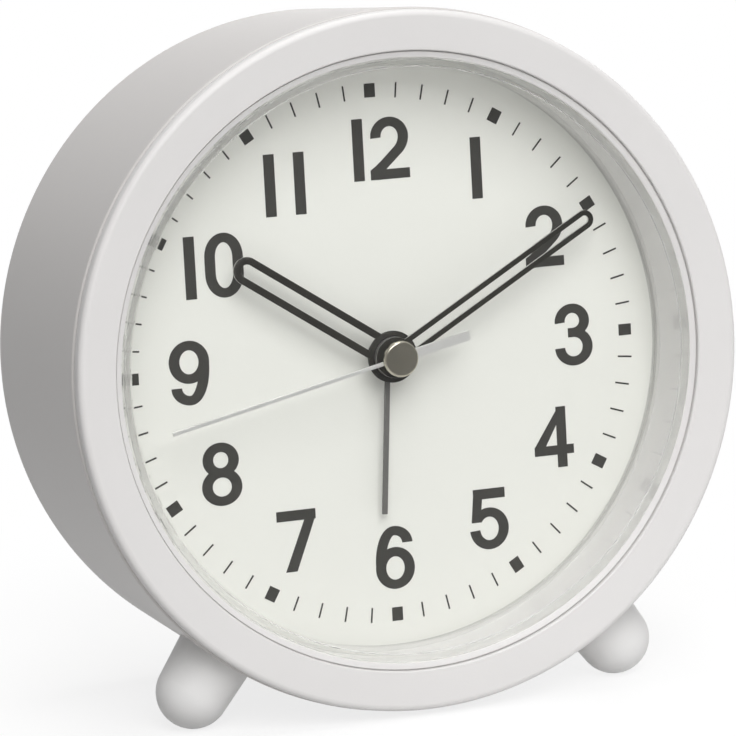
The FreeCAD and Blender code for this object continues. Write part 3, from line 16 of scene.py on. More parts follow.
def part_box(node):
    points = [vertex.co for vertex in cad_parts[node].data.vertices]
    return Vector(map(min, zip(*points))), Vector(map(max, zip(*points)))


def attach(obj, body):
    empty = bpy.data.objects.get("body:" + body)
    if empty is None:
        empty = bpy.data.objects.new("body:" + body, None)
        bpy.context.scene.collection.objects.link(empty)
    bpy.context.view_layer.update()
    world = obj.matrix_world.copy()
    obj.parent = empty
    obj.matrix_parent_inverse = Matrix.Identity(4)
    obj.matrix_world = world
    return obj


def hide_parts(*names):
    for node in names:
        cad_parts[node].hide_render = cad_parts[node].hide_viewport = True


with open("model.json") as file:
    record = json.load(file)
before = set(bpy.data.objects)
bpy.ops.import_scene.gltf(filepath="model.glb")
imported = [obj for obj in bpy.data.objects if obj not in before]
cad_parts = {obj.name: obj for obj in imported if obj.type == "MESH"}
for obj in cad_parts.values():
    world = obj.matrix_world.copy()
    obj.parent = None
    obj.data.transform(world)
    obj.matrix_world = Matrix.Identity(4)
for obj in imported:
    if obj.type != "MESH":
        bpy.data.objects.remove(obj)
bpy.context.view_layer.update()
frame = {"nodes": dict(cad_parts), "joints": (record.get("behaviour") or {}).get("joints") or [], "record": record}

bl_info = {
    "name": "Bedside Alarm Clock",
    "version": (1, 0, 0),
    "blender": (4, 5, 0),
    "location": "3D View > Sidebar > Alarm Clock",
    "description": "Builds the finished pieces of a round analogue alarm clock",
    "category": "Add Mesh",
}

MM = 0.001
DIAL_CARD = 0.4 * MM        # thickness of the dial's card
CARD_GAP = 0.03 * MM        # air between the card's face and what stands over it
SHARP = math.radians(40)    # edges sharper than this are rounded
CREASE = math.radians(35)   # edges sharper than this stay crisp in the shading


# -------------------- the dial's frame

def joint_named(name):
    """The frame's joint of that name."""
    return next(joint for joint in frame["joints"] if joint["name"] == name)


def dial_frame():
    """The matrix that takes the dial's own frame to where the clock stands."""
    out = Vector(joint_named("minute_hand_turn")["axis"]).normalized()
    right = Vector((1.0, 0.0, 0.0))
    up = out.cross(right)
    low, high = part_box("dial")
    face = (low + high) / 2 + out * DIAL_CARD / 2
    return Matrix.Translation(face) @ Matrix((right, up, out)).transposed().to_4x4()


STAND = dial_frame()


def clockwise(turn):
    """A turn of a piece that is drawn pointing at twelve."""
    return Matrix.Rotation(-turn, 4, "Z")


# -------------------- sizes and colours

def length(name, millimetres, description):
    """A length the user may change."""
    return FloatProperty(
        name=name, description=description, default=millimetres * MM, unit="LENGTH")


def angle(name, degrees, description):
    """An angle the user may change."""
    return FloatProperty(
        name=name, description=description, default=math.radians(degrees),
        subtype="ANGLE", unit="ROTATION")


def amount(name, value, description, **more):
    """A number of zero or more that the user may change."""
    return FloatProperty(name=name, description=description, default=value, min=0.0, **more)


def tone(name, red, green, blue, description):
    """A colour the user may change, given as it looks on a screen from 0 to 255."""
    screen = [level / 255 for level in (red, green, blue)]
    light = [((level + 0.055) / 1.055) ** 2.4 for level in screen]
    return FloatVectorProperty(
        name=name, description=description, default=light, size=3, min=0.0, max=1.0,
        subtype="COLOR")


class AlarmClockCase(bpy.types.PropertyGroup):
    """Sizes of the case."""
    opening: length("Opening radius", 44.25, "Radius of the round opening")
    ring_radius: length("Ring radius", 50.0, "Outer radius of the front ring")
    ring_front: length("Ring crest", 13.6, "Height of the ring's crest over the dial")
    ring_inner: length("Ring inner edge", 12.8, "Height of the ring at the opening")
    ring_back: length("Ring back", 11.2, "Height where the ring meets the drum")
    ring_edge: length("Ring edge", 1.0, "Rounding of the ring's outer edge")
    ring_lip: length("Ring lip", 0.25, "Rounding of the ring at the opening")
    shelf: length("Shelf", 12.2, "Height of the narrow shelf round the lens")
    shelf_drop: length("Shelf drop", 0.35, "How much lower the shelf lies at the lens")
    groove: length("Groove", 0.18, "Width of the fine groove between shelf and ring")
    groove_depth: length("Groove depth", 0.3, "Depth of the fine groove")
    bore: length("Bore radius", 43.25, "Radius of the ring's wall beside the lens")
    notch: length("Notch radius", 44.1, "Radius of the notch for the lens's flange")
    sleeve: length("Sleeve radius", 47.2, "Outer radius of the ring's sleeve")
    drum_front: length("Drum front radius", 50.3, "Radius of the drum at the ring")
    drum_back: length("Drum rear radius", 48.9, "Radius of the drum at the back")
    drum_end: length("Drum depth", 30.4, "Depth of the drum's rear rim behind the dial")
    drum_inside: length("Drum inner radius", 46.7, "Radius of the inner wall")
    drum_edge: length("Drum rear edge", 1.5, "Rounding of the rear rim")
    lens_radius: length("Lens radius", 43.1, "Outer radius of the clear lens")
    lens_front: length("Lens front", 12.4, "Height of the lens's face over the dial")
    lens_wall: length("Lens wall", 1.04, "Thickness of the lens's skirt")
    lens_draft: length("Lens draft", 0.5, "How much thinner the skirt is at its foot")
    lens_face: length("Lens face", 0.9, "Thickness of the lens's face")
    lens_bevel: length("Lens bevel", 0.15, "Chamfer of the lens's front edge")
    foot_angle: angle("Foot angle", 36.0, "Angle of a foot from straight down")
    foot_centre: length("Foot ball", 55.8, "Ball centre from the hands' axis")
    foot_seat: length("Foot seat", 48.9, "Flat inner end from the hands' axis")
    foot_radius: length("Foot radius", 5.7, "Radius of a foot at the drum")
    foot_tip: length("Foot ball radius", 5.3, "Radius of a foot's ball end")
    foot_forward: length("Foot forward", 3.0, "Foot axis in front of the dial")
    steps: IntProperty(
        name="Steps round", description="Facets round the case", default=256, min=24)


class AlarmClockDial(bpy.types.PropertyGroup):
    """Sizes of the print on the dial."""
    ink: length("Ink", 0.03, "Thickness of the print")
    upright: length("Upright stroke", 1.6, "Stroke of a numeral where it runs up")
    level: length("Level stroke", 1.36, "Stroke of a numeral where it runs across")
    mark_ring: length("Mark ring", 38.15, "Radius through the middle of the marks")
    hour_long: length("Hour mark length", 2.0, "Length of an hour mark")
    hour_wide: length("Hour mark width", 1.67, "Width of an hour mark")
    minute_long: length("Minute mark length", 2.2, "Length of a minute mark")
    minute_wide: length("Minute mark width", 0.25, "Width of a minute mark")


class AlarmClockHands(bpy.types.PropertyGroup):
    """Sizes of the hands at rest."""
    sheet: length("Sheet", 0.4, "Thickness of a hand")
    hour_angle: angle("Hour angle", 303.8, "Hour hand, clockwise from twelve")
    hour_top: length("Hour height", 3.8, "Top of the hour hand over the dial")
    hour_length: length("Hour length", 27.7, "Tip of the hour hand from the axis")
    hour_width: length("Hour width", 4.0, "Width of the hour hand")
    hour_slot: length("Hour slot", 1.85, "Width of the hour hand's slot")
    hour_hub: length("Hour hub", 3.75, "Radius of the hour hand's hub")
    minute_angle: angle("Minute angle", 60.4, "Minute hand, clockwise from twelve")
    minute_top: length("Minute height", 4.9, "Top of the minute hand over the dial")
    minute_length: length("Minute length", 36.4, "Tip of the minute hand")
    minute_width: length("Minute width", 2.8, "Width of the minute hand")
    minute_slot: length("Minute slot", 1.2, "Width of the minute hand's slot")
    minute_hub: length("Minute hub", 2.95, "Radius of the minute hand's hub")
    alarm_angle: angle("Alarm angle", 184.4, "Alarm hand, clockwise from twelve")
    alarm_top: length("Alarm height", 1.9, "Top of the alarm hand over the dial")
    alarm_length: length("Alarm length", 23.1, "Tip of the alarm hand")
    alarm_width: length("Alarm width", 0.78, "Width of the alarm hand")
    alarm_hub: length("Alarm hub", 2.7, "Radius of the alarm hand's hub")
    second_angle: angle("Second angle", 257.8, "Second hand, clockwise from twelve")
    second_top: length("Second height", 6.5, "Top of the second hand over the dial")
    second_length: length("Second length", 35.4, "Tip of the second hand")
    second_width: length("Second width", 0.56, "Width of the needle")
    second_tail: length("Tail length", 11.2, "End of the tail from the axis")
    tail_width: length("Tail width", 1.4, "Width of the tail")
    boss: length("Boss", 1.0, "Radius of the second hand's boss")
    cap_radius: length("Cap radius", 2.6, "Radius of the centre cap")
    cap_top: length("Cap height", 7.4, "Top of the centre cap over the dial")
    cap_chamfer: length("Cap chamfer", 0.25, "Chamfer of the centre cap")


class AlarmClockColours(bpy.types.PropertyGroup):
    """Colours of the finishes."""
    # painted shade: the drum is the same pale plastic as the ring, given a darker tone so its side away from the
    # lamps renders darker
    case: tone("Case", 198, 195, 193, "Satin plastic of the drum")
    ring: tone("Ring", 219, 217, 216, "Satin plastic of the front ring")
    # painted light: the wall beside the lens is the ring's own plastic, given a lighter tone than the ring to
    # stand in for light that falls on it
    wall_painted_light: tone("Ring wall", 242, 240, 239, "Wall of the ring beside the lens")
    # painted light: the feet are the same pale plastic, given a lighter tone so their shaded undersides render
    # lighter
    foot: tone("Feet", 231, 230, 229, "Satin plastic of the feet")
    dial: tone("Dial", 237, 238, 231, "Printed card")
    ink: tone("Ink", 58, 57, 53, "Numerals and marks")
    hand: tone("Dark hands", 24, 22, 13, "Paint of the hour and minute hands")
    alarm: tone("Alarm hand", 103, 102, 99, "Paint of the alarm hand")
    silver: tone("Second hand", 238, 238, 235, "Bare aluminium")
    cap: tone("Cap", 196, 191, 176, "Plating of the centre cap")
    cover: tone("Rear cover", 205, 203, 199, "Plastic of the rear cover")


# -------------------- shader reckoning

class Reading:
    """A shader socket that adds Math nodes when it is reckoned with."""

    def __init__(self, tree, socket):
        self.tree = tree
        self.socket = socket

    def _maths(self, operation, *terms):
        node = self.tree.nodes.new("ShaderNodeMath")
        node.operation = operation
        for target, term in zip(node.inputs, terms):
            connect(self.tree, target, term)
        return Reading(self.tree, node.outputs[0])

    def __add__(self, other):
        return self._maths("ADD", self, other)

    __radd__ = __add__

    def __sub__(self, other):
        return self._maths("SUBTRACT", self, other)

    def __rsub__(self, other):
        return self._maths("SUBTRACT", other, self)

    def __mul__(self, other):
        return self._maths("MULTIPLY", self, other)

    __rmul__ = __mul__

    def __gt__(self, other):
        return self._maths("GREATER_THAN", self, other)

    def __lt__(self, other):
        return self._maths("LESS_THAN", self, other)

    def wave(self):
        """The sine of the reading."""
        return self._maths("SINE", self)

    def largest(self, other):
        """The larger of two readings."""
        return self._maths("MAXIMUM", self, other)


def connect(tree, target, source):
    """Links a reading to a socket, or sets the socket to a plain value."""
    if isinstance(source, Reading):
        tree.links.new(source.socket, target)
    else:
        target.default_value = source


class Shading:
    """The node tree of one finish."""

    def __init__(self, tree):
        self.tree = tree
        tree.nodes.clear()

    def node(self, kind, settings=None, inputs=None, output=0):
        """One node: its settings first, then its inputs; gives one output."""
        made = self.tree.nodes.new(kind)
        for name, setting in (settings or {}).items():
            setattr(made, name, setting)
        for name, source in (inputs or {}).items():
            connect(self.tree, made.inputs[name], source)
        return Reading(self.tree, made.outputs[output])

    def place(self):
        """Where a point lies on the object."""
        return self.node("ShaderNodeTexCoord", output="Object")

    def dial_place(self):
        """Where a point lies in the dial's own frame."""
        return self.node("ShaderNodeMapping", {"vector_type": "TEXTURE"}, {
            "Vector": self.place(),
            "Location": STAND.translation,
            "Rotation": STAND.to_euler(),
        })

    def from_axis(self):
        """How far a point lies from the hands' axis."""
        flat = self.node("ShaderNodeVectorMath", {"operation": "MULTIPLY"}, {
            0: self.dial_place(), 1: (1.0, 1.0, 0.0)})
        return self.reach(flat)

    def reach(self, vector):
        """The length of a vector."""
        return self.node("ShaderNodeVectorMath", {"operation": "LENGTH"}, {0: vector}, "Value")

    def along(self, vector, axis):
        """The part of a vector that lies along X, Y or Z."""
        return self.node("ShaderNodeSeparateXYZ", None, {0: vector}, axis)

    def noise(self, size, detail=2.0, roughness=0.5):
        """Noise whose lumps are about this size."""
        return self.node("ShaderNodeTexNoise", {"noise_dimensions": "3D"}, {
            "Vector": self.place(), "Scale": 1.0 / size,
            "Detail": detail, "Roughness": roughness,
        }, "Fac")

    def ramp(self, reading, taken, given=(0.0, 1.0)):
        """A reading carried smoothly from one span to another."""
        return self.node("ShaderNodeMapRange", {"interpolation_type": "SMOOTHSTEP"}, {
            "Value": reading, "From Min": taken[0], "From Max": taken[1],
            "To Min": given[0], "To Max": given[1]})

    def blend(self, share, first, second):
        """A colour between two."""
        return self.node("ShaderNodeMix", {"data_type": "RGBA"}, {
            0: share, 6: first, 7: second}, 2)

    def bump(self, height, depth):
        """A normal raised by a reading of 0 to 1 over a depth."""
        return self.node("ShaderNodeBump", None, {"Distance": depth, "Height": height})

    def mix(self, share, first, second):
        """A shader between two."""
        return self.node("ShaderNodeMixShader", None, {0: share, 1: first, 2: second})

    def glow(self, kind, strength):
        """A colourless light of one strength."""
        return self.node(kind, None, {"Color": grey(1.0), "Strength": strength})

    def ray(self, kind):
        """Whether the path is on a ray of this kind."""
        return self.node("ShaderNodeLightPath", output=f"Is {kind} Ray")

    def seen(self):
        """Whether a ray shows the surroundings, straight or by a clear or bright face."""
        return self.ray("Camera").largest(self.ray("Glossy")).largest(self.ray("Transmission"))

    def surface(self, shader, kind="ShaderNodeOutputMaterial"):
        """Hands a shader to the output."""
        output = self.tree.nodes.new(kind)
        self.tree.links.new(shader.socket, output.inputs["Surface"])

    def solid(self, inputs):
        """Hands the output a Principled shader with these values and links."""
        self.surface(self.node("ShaderNodeBsdfPrincipled", None, inputs))


def finish_named(name):
    """A new material and its shading."""
    material = bpy.data.materials.new(name)
    material.use_nodes = True
    return material, Shading(material.node_tree)


def shade(colour, factor):
    """A colour made lighter or darker, ready for a colour socket."""
    return tuple(min(level * factor, 1.0) for level in colour[:3]) + (1.0,)


def grey(level):
    """A grey, ready for a colour socket."""
    return level, level, level, 1.0


def moulded(name, colour, rough=0.42, grain=0.35 * MM, depth=0.006 * MM):
    """Moulded plastic: fine grain, faint mottling and uneven sheen."""
    material, shading = finish_named(name)
    broad = shading.noise(18 * MM, 3.0)
    fine = shading.noise(grain, 2.0, 0.6)
    shading.solid({
        "Base Color": shading.blend(broad, shade(colour, 0.975), shade(colour, 1.02)),
        "Roughness": rough - 0.05 + broad * 0.06 + fine * 0.05,
        "IOR": 1.46,
        "Normal": shading.bump(fine, depth),
    })
    return material


def painted(name, colour, rough=0.5):
    """Sheet metal with a thin coat of paint, slightly uneven."""
    material, shading = finish_named(name)
    specks = shading.noise(0.12 * MM, 2.0, 0.7)
    broad = shading.noise(4 * MM, 2.0)
    shading.solid({
        "Base Color": shading.blend(specks, shade(colour, 0.88), shade(colour, 1.12)),
        "Roughness": rough + (broad - 0.5) * 0.12,
        "Normal": shading.bump(specks, 0.004 * MM),
    })
    return material


def metal(name, colour, rough=0.3, lines=0.0, bright=1.0):
    """Bare or plated metal, with optional lines turned round the hands' axis."""
    material, shading = finish_named(name)
    fine = shading.noise(0.06 * MM, 3.0, 0.65)
    broad = shading.noise(2.5 * MM, 2.0)
    height = fine
    if lines:
        turns = shading.from_axis() * (math.tau / lines)
        height = (turns + fine * 3.0).wave() * 0.35 + 0.5
    shading.solid({
        "Base Color": shading.blend(broad, shade(colour, 0.9), shade(colour, 1.08)),
        "Metallic": bright,
        "Roughness": rough + (fine - 0.5) * 0.1,
        "Normal": shading.bump(height, 0.003 * MM),
    })
    return material


def clear_plastic(name):
    """Clear polished plastic that lets lamps through and bends less in its skirt."""
    skirt_radius = 41.9 * MM
    material, shading = finish_named(name)
    wipe = shading.noise(6 * MM, 3.0)
    body = shading.node("ShaderNodeBsdfPrincipled", None, {
        "Base Color": grey(0.99),
        "Roughness": 0.004 + wipe * 0.01,
        "IOR": 1.49,
        "Transmission Weight": 1.0,
    })
    through = shading.node("ShaderNodeBsdfTransparent", None, {"Color": grey(0.99)})
    skirt = (shading.from_axis() > skirt_radius) * 0.35
    free = shading.ray("Shadow").largest(shading.ray("Diffuse")).largest(skirt)
    shading.surface(shading.mix(free, body, through))
    return material


def cell_sleeve(name, colour):
    """A dry cell's sleeve, with a pale band near its positive end and bare ends."""
    band_start, band_end, button_end, base_end = 15 * MM, 21.5 * MM, 24.3 * MM, -24.6 * MM
    material, shading = finish_named(name)
    along = shading.along(shading.place(), "X")
    band = (along > band_start) * (along < band_end)
    bare = (along > button_end).largest(along < base_end)
    scuffs = shading.noise(1.5 * MM, 4.0, 0.7)
    sleeve = shading.blend(scuffs, shade(colour, 0.9), shade(colour, 1.1))
    printed = shading.blend(band, sleeve, (0.62, 0.58, 0.46, 1.0))
    shading.solid({
        "Base Color": shading.blend(bare, printed, (0.6, 0.6, 0.59, 1.0)),
        "Metallic": bare,
        "Roughness": 0.28 + scuffs * 0.12,
        "Normal": shading.bump(scuffs, 0.004 * MM),
    })
    return material


def printed_card(name, colour):
    """Matt coated card with a trace of paper grain."""
    material, shading = finish_named(name)
    fibres = shading.noise(0.25 * MM, 4.0, 0.7)
    broad = shading.noise(25 * MM, 2.0)
    tint = shading.blend(broad, shade(colour, 0.985), shade(colour, 1.01))
    shading.solid({
        "Base Color": shading.blend(fibres * 0.3, tint, shade(colour, 0.97)),
        "Roughness": 0.55 + fibres * 0.08,
        "Specular IOR Level": 0.3,
        "Normal": shading.bump(fibres, 0.003 * MM),
    })
    return material


def dial_ink(name, colour):
    """Screen-printed ink, with fine pits."""
    material, shading = finish_named(name)
    pits = shading.noise(0.15 * MM, 3.0, 0.6)
    shading.solid({
        "Base Color": shading.blend(pits, shade(colour, 0.85), shade(colour, 1.2)),
        "Roughness": 0.5 + pits * 0.15,
        "Specular IOR Level": 0.35,
        "Normal": shading.bump(pits, 0.002 * MM),
    })
    return material


FINISHES = {}


def finish(slot):
    """The material of a slot of the record, made once."""
    if slot not in FINISHES:
        colours = bpy.context.scene.alarm_clock_colours
        own = next((entry["base_color"] for entry in frame["record"]["materials"]
                    if entry["slot"] == slot), (0.5, 0.5, 0.5))
        makers = {
            "case_plastic": lambda: moulded(slot, colours.case),
            "ring_plastic": lambda: moulded(slot, colours.ring),
            # painted light: a lighter copy of the ring's plastic for its wall beside the lens
            "ring_wall": lambda: moulded(slot, colours.wall_painted_light),
            "foot_plastic": lambda: moulded(slot, colours.foot, 0.45),
            "clear_plastic": lambda: clear_plastic(slot),
            "dial_card": lambda: printed_card(slot, colours.dial),
            "dial_ink": lambda: dial_ink(slot, colours.ink),
            "dark_paint": lambda: painted(slot, colours.hand),
            "grey_paint": lambda: painted(slot, colours.alarm),
            "bare_aluminium": lambda: metal(slot, colours.silver, 0.42, bright=0.8),
            "cap_metal": lambda: metal(slot, colours.cap, 0.2, 0.12 * MM),
            "cut_edge": lambda: metal(slot, (0.6, 0.59, 0.57), 0.35),
            "cover_plastic": lambda: moulded(slot, colours.cover, 0.55, 0.5 * MM, 0.02 * MM),
            "cell_wrap": lambda: cell_sleeve(slot, own),
            "steel": lambda: metal(slot, (0.55, 0.55, 0.54), 0.35),
            "iron": lambda: metal(slot, (0.36, 0.35, 0.34), 0.5),
            "magnet": lambda: metal(slot, (0.2, 0.2, 0.21), 0.45),
            "copper": lambda: metal(slot, (0.72, 0.36, 0.2), 0.35, 0.2 * MM),
            "sheet_brass": lambda: metal(slot, (0.75, 0.58, 0.3), 0.3),
            "nickel": lambda: metal(slot, (0.62, 0.61, 0.58), 0.25),
            "knob_plastic": lambda: moulded(slot, own, 0.45, 0.3 * MM, 0.01 * MM),
            "resin": lambda: moulded(slot, own, 0.2),
        }
        FINISHES[slot] = makers.get(slot, lambda: moulded(slot, own, 0.5))()
    return FINISHES[slot]


# -------------------- modelling helpers

def turned(corners, steps, closed=True, rounds=6):
    """A form spun about Z from (radius, height, rounding) corners."""
    form = bmesh.new()
    points = [form.verts.new((radius, 0.0, height)) for radius, height, _ in corners]
    for first, second in zip(points, points[1:]):
        form.edges.new((first, second))
    if closed:
        form.edges.new((points[-1], points[0]))
    for point, (_, _, rounding) in zip(points, corners):
        if rounding:
            bmesh.ops.bevel(
                form, geom=[point], affect="VERTICES", offset=rounding,
                offset_type="OFFSET", segments=rounds, profile=0.5, material=-1)
    bmesh.ops.spin(
        form, geom=form.verts[:] + form.edges[:], cent=(0, 0, 0), axis=(0, 0, 1),
        angle=math.tau, steps=steps, use_merge=True)
    bmesh.ops.remove_doubles(form, verts=form.verts, dist=1e-7)
    bmesh.ops.recalc_face_normals(form, faces=form.faces)
    return form


def only(kind, items):
    """The items of one kind, such as vertices, that an operator gives."""
    return [item for item in items if isinstance(item, kind)]


def push(form, edge):
    """Draws a face out of an edge: gives its new vertices, its far edge and the face."""
    drawn = bmesh.ops.extrude_edge_only(form, edges=[edge])["geom"]
    verts = only(bmesh.types.BMVert, drawn)
    far = next(item for item in only(bmesh.types.BMEdge, drawn)
               if set(item.verts) == set(verts))
    return verts, far, only(bmesh.types.BMFace, drawn)


def take_in(form, other):
    """Moves a second form into the first."""
    sheet = bpy.data.meshes.new("part")
    other.to_mesh(sheet)
    other.free()
    form.from_mesh(sheet)
    bpy.data.meshes.remove(sheet)


def bar(form, low, high):
    """A box between two corners, added to a form."""
    middle = (Vector(low) + Vector(high)) / 2
    spans = Vector(high) - Vector(low)
    place = Matrix.Translation(middle) @ Matrix.Diagonal((*spans, 1.0))
    return bmesh.ops.create_cube(form, size=1.0, matrix=place)["verts"]


def spread(form, verts, count):
    """Copies of a part of a form, evenly round Z."""
    faces = list({face for vert in verts for face in vert.link_faces})
    for number in range(1, count):
        copy = bmesh.ops.duplicate(form, geom=faces)
        bmesh.ops.rotate(
            form, verts=only(bmesh.types.BMVert, copy["geom"]), cent=(0, 0, 0),
            matrix=Matrix.Rotation(math.tau * number / count, 3, "Z"))


def thicken(form, faces, height):
    """Raises flat faces into closed solids."""
    raised = bmesh.ops.extrude_face_region(form, geom=faces)["geom"]
    tops = only(bmesh.types.BMVert, raised)
    bmesh.ops.translate(form, verts=tops, vec=(0, 0, height))


def soften(form, width):
    """A small rounding along every sharp edge."""
    sharp = [edge for edge in form.edges if edge.calc_face_angle(0.0) > SHARP]
    bmesh.ops.bevel(
        form, geom=sharp, affect="EDGES", offset=width, offset_type="OFFSET",
        segments=2, profile=0.5, material=-1, clamp_overlap=True)


def settle(form, name, body, slot, replaces=(), place=Matrix.Identity(4), rim=None):
    """Makes a form a finished piece that rides on a body.

    A rim is two radii and the slot of the upright faces between them.
    """
    bmesh.ops.recalc_face_normals(form, faces=form.faces)
    if rim:
        for face in form.faces:
            within = rim[0] < face.calc_center_median().xy.length < rim[1]
            upright = abs(face.normal.z) < 0.5
            face.material_index = int(within and upright)
    bmesh.ops.transform(form, matrix=STAND @ place, verts=form.verts)
    for face in form.faces:
        face.smooth = True
    for edge in form.edges:
        edge.smooth = edge.calc_face_angle(0.0) < CREASE
    mesh = bpy.data.meshes.new(name)
    form.to_mesh(mesh)
    form.free()
    mesh.materials.append(finish(slot))
    if rim:
        mesh.materials.append(finish(rim[2]))
    piece = bpy.data.objects.new(name, mesh)
    bpy.context.scene.collection.objects.link(piece)
    even = piece.modifiers.new("Even normals", "WEIGHTED_NORMAL")
    even.keep_sharp = True
    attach(piece, body)
    if replaces:
        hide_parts(*replaces)


# -------------------- the numerals' pen

class Pen:
    """Draws flat strokes in millimetres and raises them into ink."""

    def __init__(self, form, corner, ink, upright, level):
        self.form = form
        self.corner = Vector((*corner, 0.0))
        self.ink = ink
        self.upright = upright
        self.level = level
        self.strokes = 0

    def _pose(self, x, y, heading):
        """The matrix of the cross edge at a point of the stroke's centre line."""
        rise = math.sin(heading) ** 2
        width = self.level + (self.upright - self.level) * rise
        return (Matrix.Translation(self.corner + Vector((x, y, 0)))
                @ Matrix.Rotation(heading, 4, "Z") @ Matrix.Scale(width, 4))

    def _raise(self, faces):
        """Lifts a finished stroke, each a hair higher than the last."""
        self.strokes += 1
        hair = 0.05 * self.ink
        bmesh.ops.scale(self.form, verts=list({v for f in faces for v in f.verts}),
                        vec=(MM, MM, MM))
        thicken(self.form, faces, self.ink + hair * self.strokes)

    def bow(self, x, y, across, up, start, end):
        """Points and headings along part of an ellipse, from one angle to another."""
        facet = 7.5
        count = max(2, round(abs(end - start) / facet))
        way = math.copysign(1.0, end - start)
        for number in range(count + 1):
            turn = math.radians(start + (end - start) * number / count)
            heading = math.atan2(way * up * math.cos(turn), -way * across * math.sin(turn))
            yield x + across * math.cos(turn), y + up * math.sin(turn), heading

    def sweep(self, *runs):
        """A stroke along runs of points and headings."""
        spots = [spot for run in runs for spot in run]
        pose = self._pose(*spots[0])
        ends = [self.form.verts.new(pose @ Vector((0, side, 0))) for side in (-0.5, 0.5)]
        edge = self.form.edges.new(ends)
        faces = []
        for spot in spots[1:]:
            following = self._pose(*spot)
            verts, edge, strip = push(self.form, edge)
            bmesh.ops.transform(self.form, matrix=following @ pose.inverted(), verts=verts)
            faces += strip
            pose = following
        self._raise(faces)

    def slant(self, low_left, low_right, high_left, high_right):
        """A straight stroke between a level foot and a level head."""
        corners = [self.form.verts.new(self.corner + Vector((*point, 0.0)))
                   for point in (low_left, low_right, high_right, high_left)]
        self._raise([self.form.faces.new(corners)])

    def block(self, left, right, low, high):
        """A straight bar."""
        self.slant((left, low), (right, low), (left, high), (right, high))


def draw_zero(pen):
    """An oval with long straight sides."""
    pen.sweep(pen.bow(2.92, 5.7, 2.1, 2.76, 0, 180), pen.bow(2.92, 3.3, 2.1, 2.76, 180, 360),
              [(5.02, 5.7, math.pi / 2)])


def draw_one(pen):
    """A plain bar."""
    pen.block(0.0, 1.64, 0.0, 8.95)


def draw_two(pen):
    """A hook, a leaning tail and a level foot."""
    pen.sweep(pen.bow(3.12, 6.12, 2.12, 2.15, 183, 0), pen.bow(2.44, 6.12, 2.8, 2.74, 0, -50),
              pen.bow(4.16, -0.1, 3.36, 2.74, 130, 178))
    pen.block(0.0, 6.05, 0.0, 1.45)
    pen.slant((0.0, 1.42), (1.6, 1.42), (0.9, 2.02), (1.3, 2.02))


def draw_three(pen):
    """Two bowls that meet at a short bar."""
    pen.sweep(pen.bow(2.92, 6.5, 1.95, 1.92, 184, 0), pen.bow(2.92, 6.5, 1.95, 1.66, 0, -90),
              [(2.2, 4.84, math.pi)])
    pen.sweep([(2.2, 4.84, 0.0)], pen.bow(3.05, 2.73, 2.2, 2.11, 90, -178))


def draw_four(pen):
    """A post, a crossbar and a leaning stroke."""
    pen.block(3.75, 5.3, -0.05, 8.95)
    pen.block(0.15, 6.4, 1.86, 3.24)
    pen.slant((0.15, 3.1), (1.9, 3.1), (4.15, 8.95), (5.3, 8.95))


def draw_five(pen):
    """A top bar, a short stem and a bowl."""
    pen.block(0.86, 5.86, 7.43, 8.93)
    pen.slant((0.43, 4.05), (1.85, 4.05), (0.86, 8.0), (2.32, 8.0))
    pen.sweep(pen.bow(3.2, 3.03, 2.26, 2.42, 146, -176))


def draw_six(pen):
    """A hook that runs down into a closed bowl."""
    pen.sweep(pen.bow(3.2, 6.6, 2.05, 1.88, 0, 90), pen.bow(3.2, 3.6, 2.2, 4.88, 90, 180))
    pen.sweep(pen.bow(3.2, 2.98, 2.23, 2.4, 180, 540))


def draw_seven(pen):
    """A top bar and a leaning stroke."""
    pen.block(0.08, 6.08, 7.43, 8.93)
    pen.slant((1.1, 0.0), (2.85, 0.0), (4.32, 7.5), (6.08, 7.9))


def draw_eight(pen):
    """Two closed bowls."""
    pen.sweep(pen.bow(3.22, 6.53, 1.94, 1.84, -90, 270))
    pen.sweep(pen.bow(3.22, 2.63, 2.24, 2.05, -90, 270))


DRAW = {
    "0": draw_zero, "1": draw_one, "2": draw_two, "3": draw_three, "4": draw_four,
    "5": draw_five, "6": draw_six, "7": draw_seven, "8": draw_eight,
}

# the point about which a six turns into a nine, from its lower left corner
SIX_MIDDLE = Vector((3.2, 4.54, 0))

# each numeral's digits, with the lower left corner of each in millimetres
NUMERALS = [
    ("1", -3.05, 25.22), ("2", -0.48, 25.22), ("1", 15.05, 21.25), ("2", 22.93, 10.42),
    ("3", 26.83, -4.5), ("4", 22.7, -19.32), ("5", 11.88, -30.24), ("6", -3.14, -34.36),
    ("7", -17.87, -30.17), ("8", -28.9, -19.32), ("9", -32.76, -4.42),
    ("1", -29.4, 10.55), ("0", -26.38, 10.53), ("1", -16.72, 21.25), ("1", -12.2, 21.25),
]


# -------------------- operators

class ClockPiece:
    """What the operators share."""
    bl_options = {"REGISTER", "UNDO"}


class ALARMCLOCK_OT_ring(ClockPiece, bpy.types.Operator):
    """Build the front ring with the sleeve that holds lens and dial"""
    bl_idname = "alarmclock.ring"
    bl_label = "Front Ring"

    def execute(self, context):
        case = context.scene.alarm_clock_case
        foot, inside = -1.7 * MM, 45.6 * MM     # the sleeve's rear end and inner radius
        step, beside = 1.25 * MM, 0.2 * MM      # the notch's top, and either side of the bore
        groove = case.shelf - case.groove_depth
        form = turned([
            (case.sleeve, foot, 0), (case.sleeve, case.ring_back, 0),
            (case.ring_radius, case.ring_back, 0.3 * MM),
            (case.ring_radius, case.ring_front, case.ring_edge),
            (case.opening, case.ring_inner, case.ring_lip),
            (case.opening, groove, 0), (case.opening - case.groove, groove, 0),
            (case.opening - case.groove, case.shelf, 0.05 * MM),
            (case.bore, case.shelf - case.shelf_drop, 0.1 * MM),
            (case.bore, step, 0), (case.notch, step, 0), (case.notch, CARD_GAP, 0),
            (inside, CARD_GAP, 0), (inside, foot, 0),
        ], case.steps)
        # the ring's upright faces at the bore take the lighter copy of its plastic, as painted light
        settle(form, "front_ring", "case", "ring_plastic", ["bezel"],
               rim=(case.bore - beside, case.bore + beside, "ring_wall"))
        return {"FINISHED"}


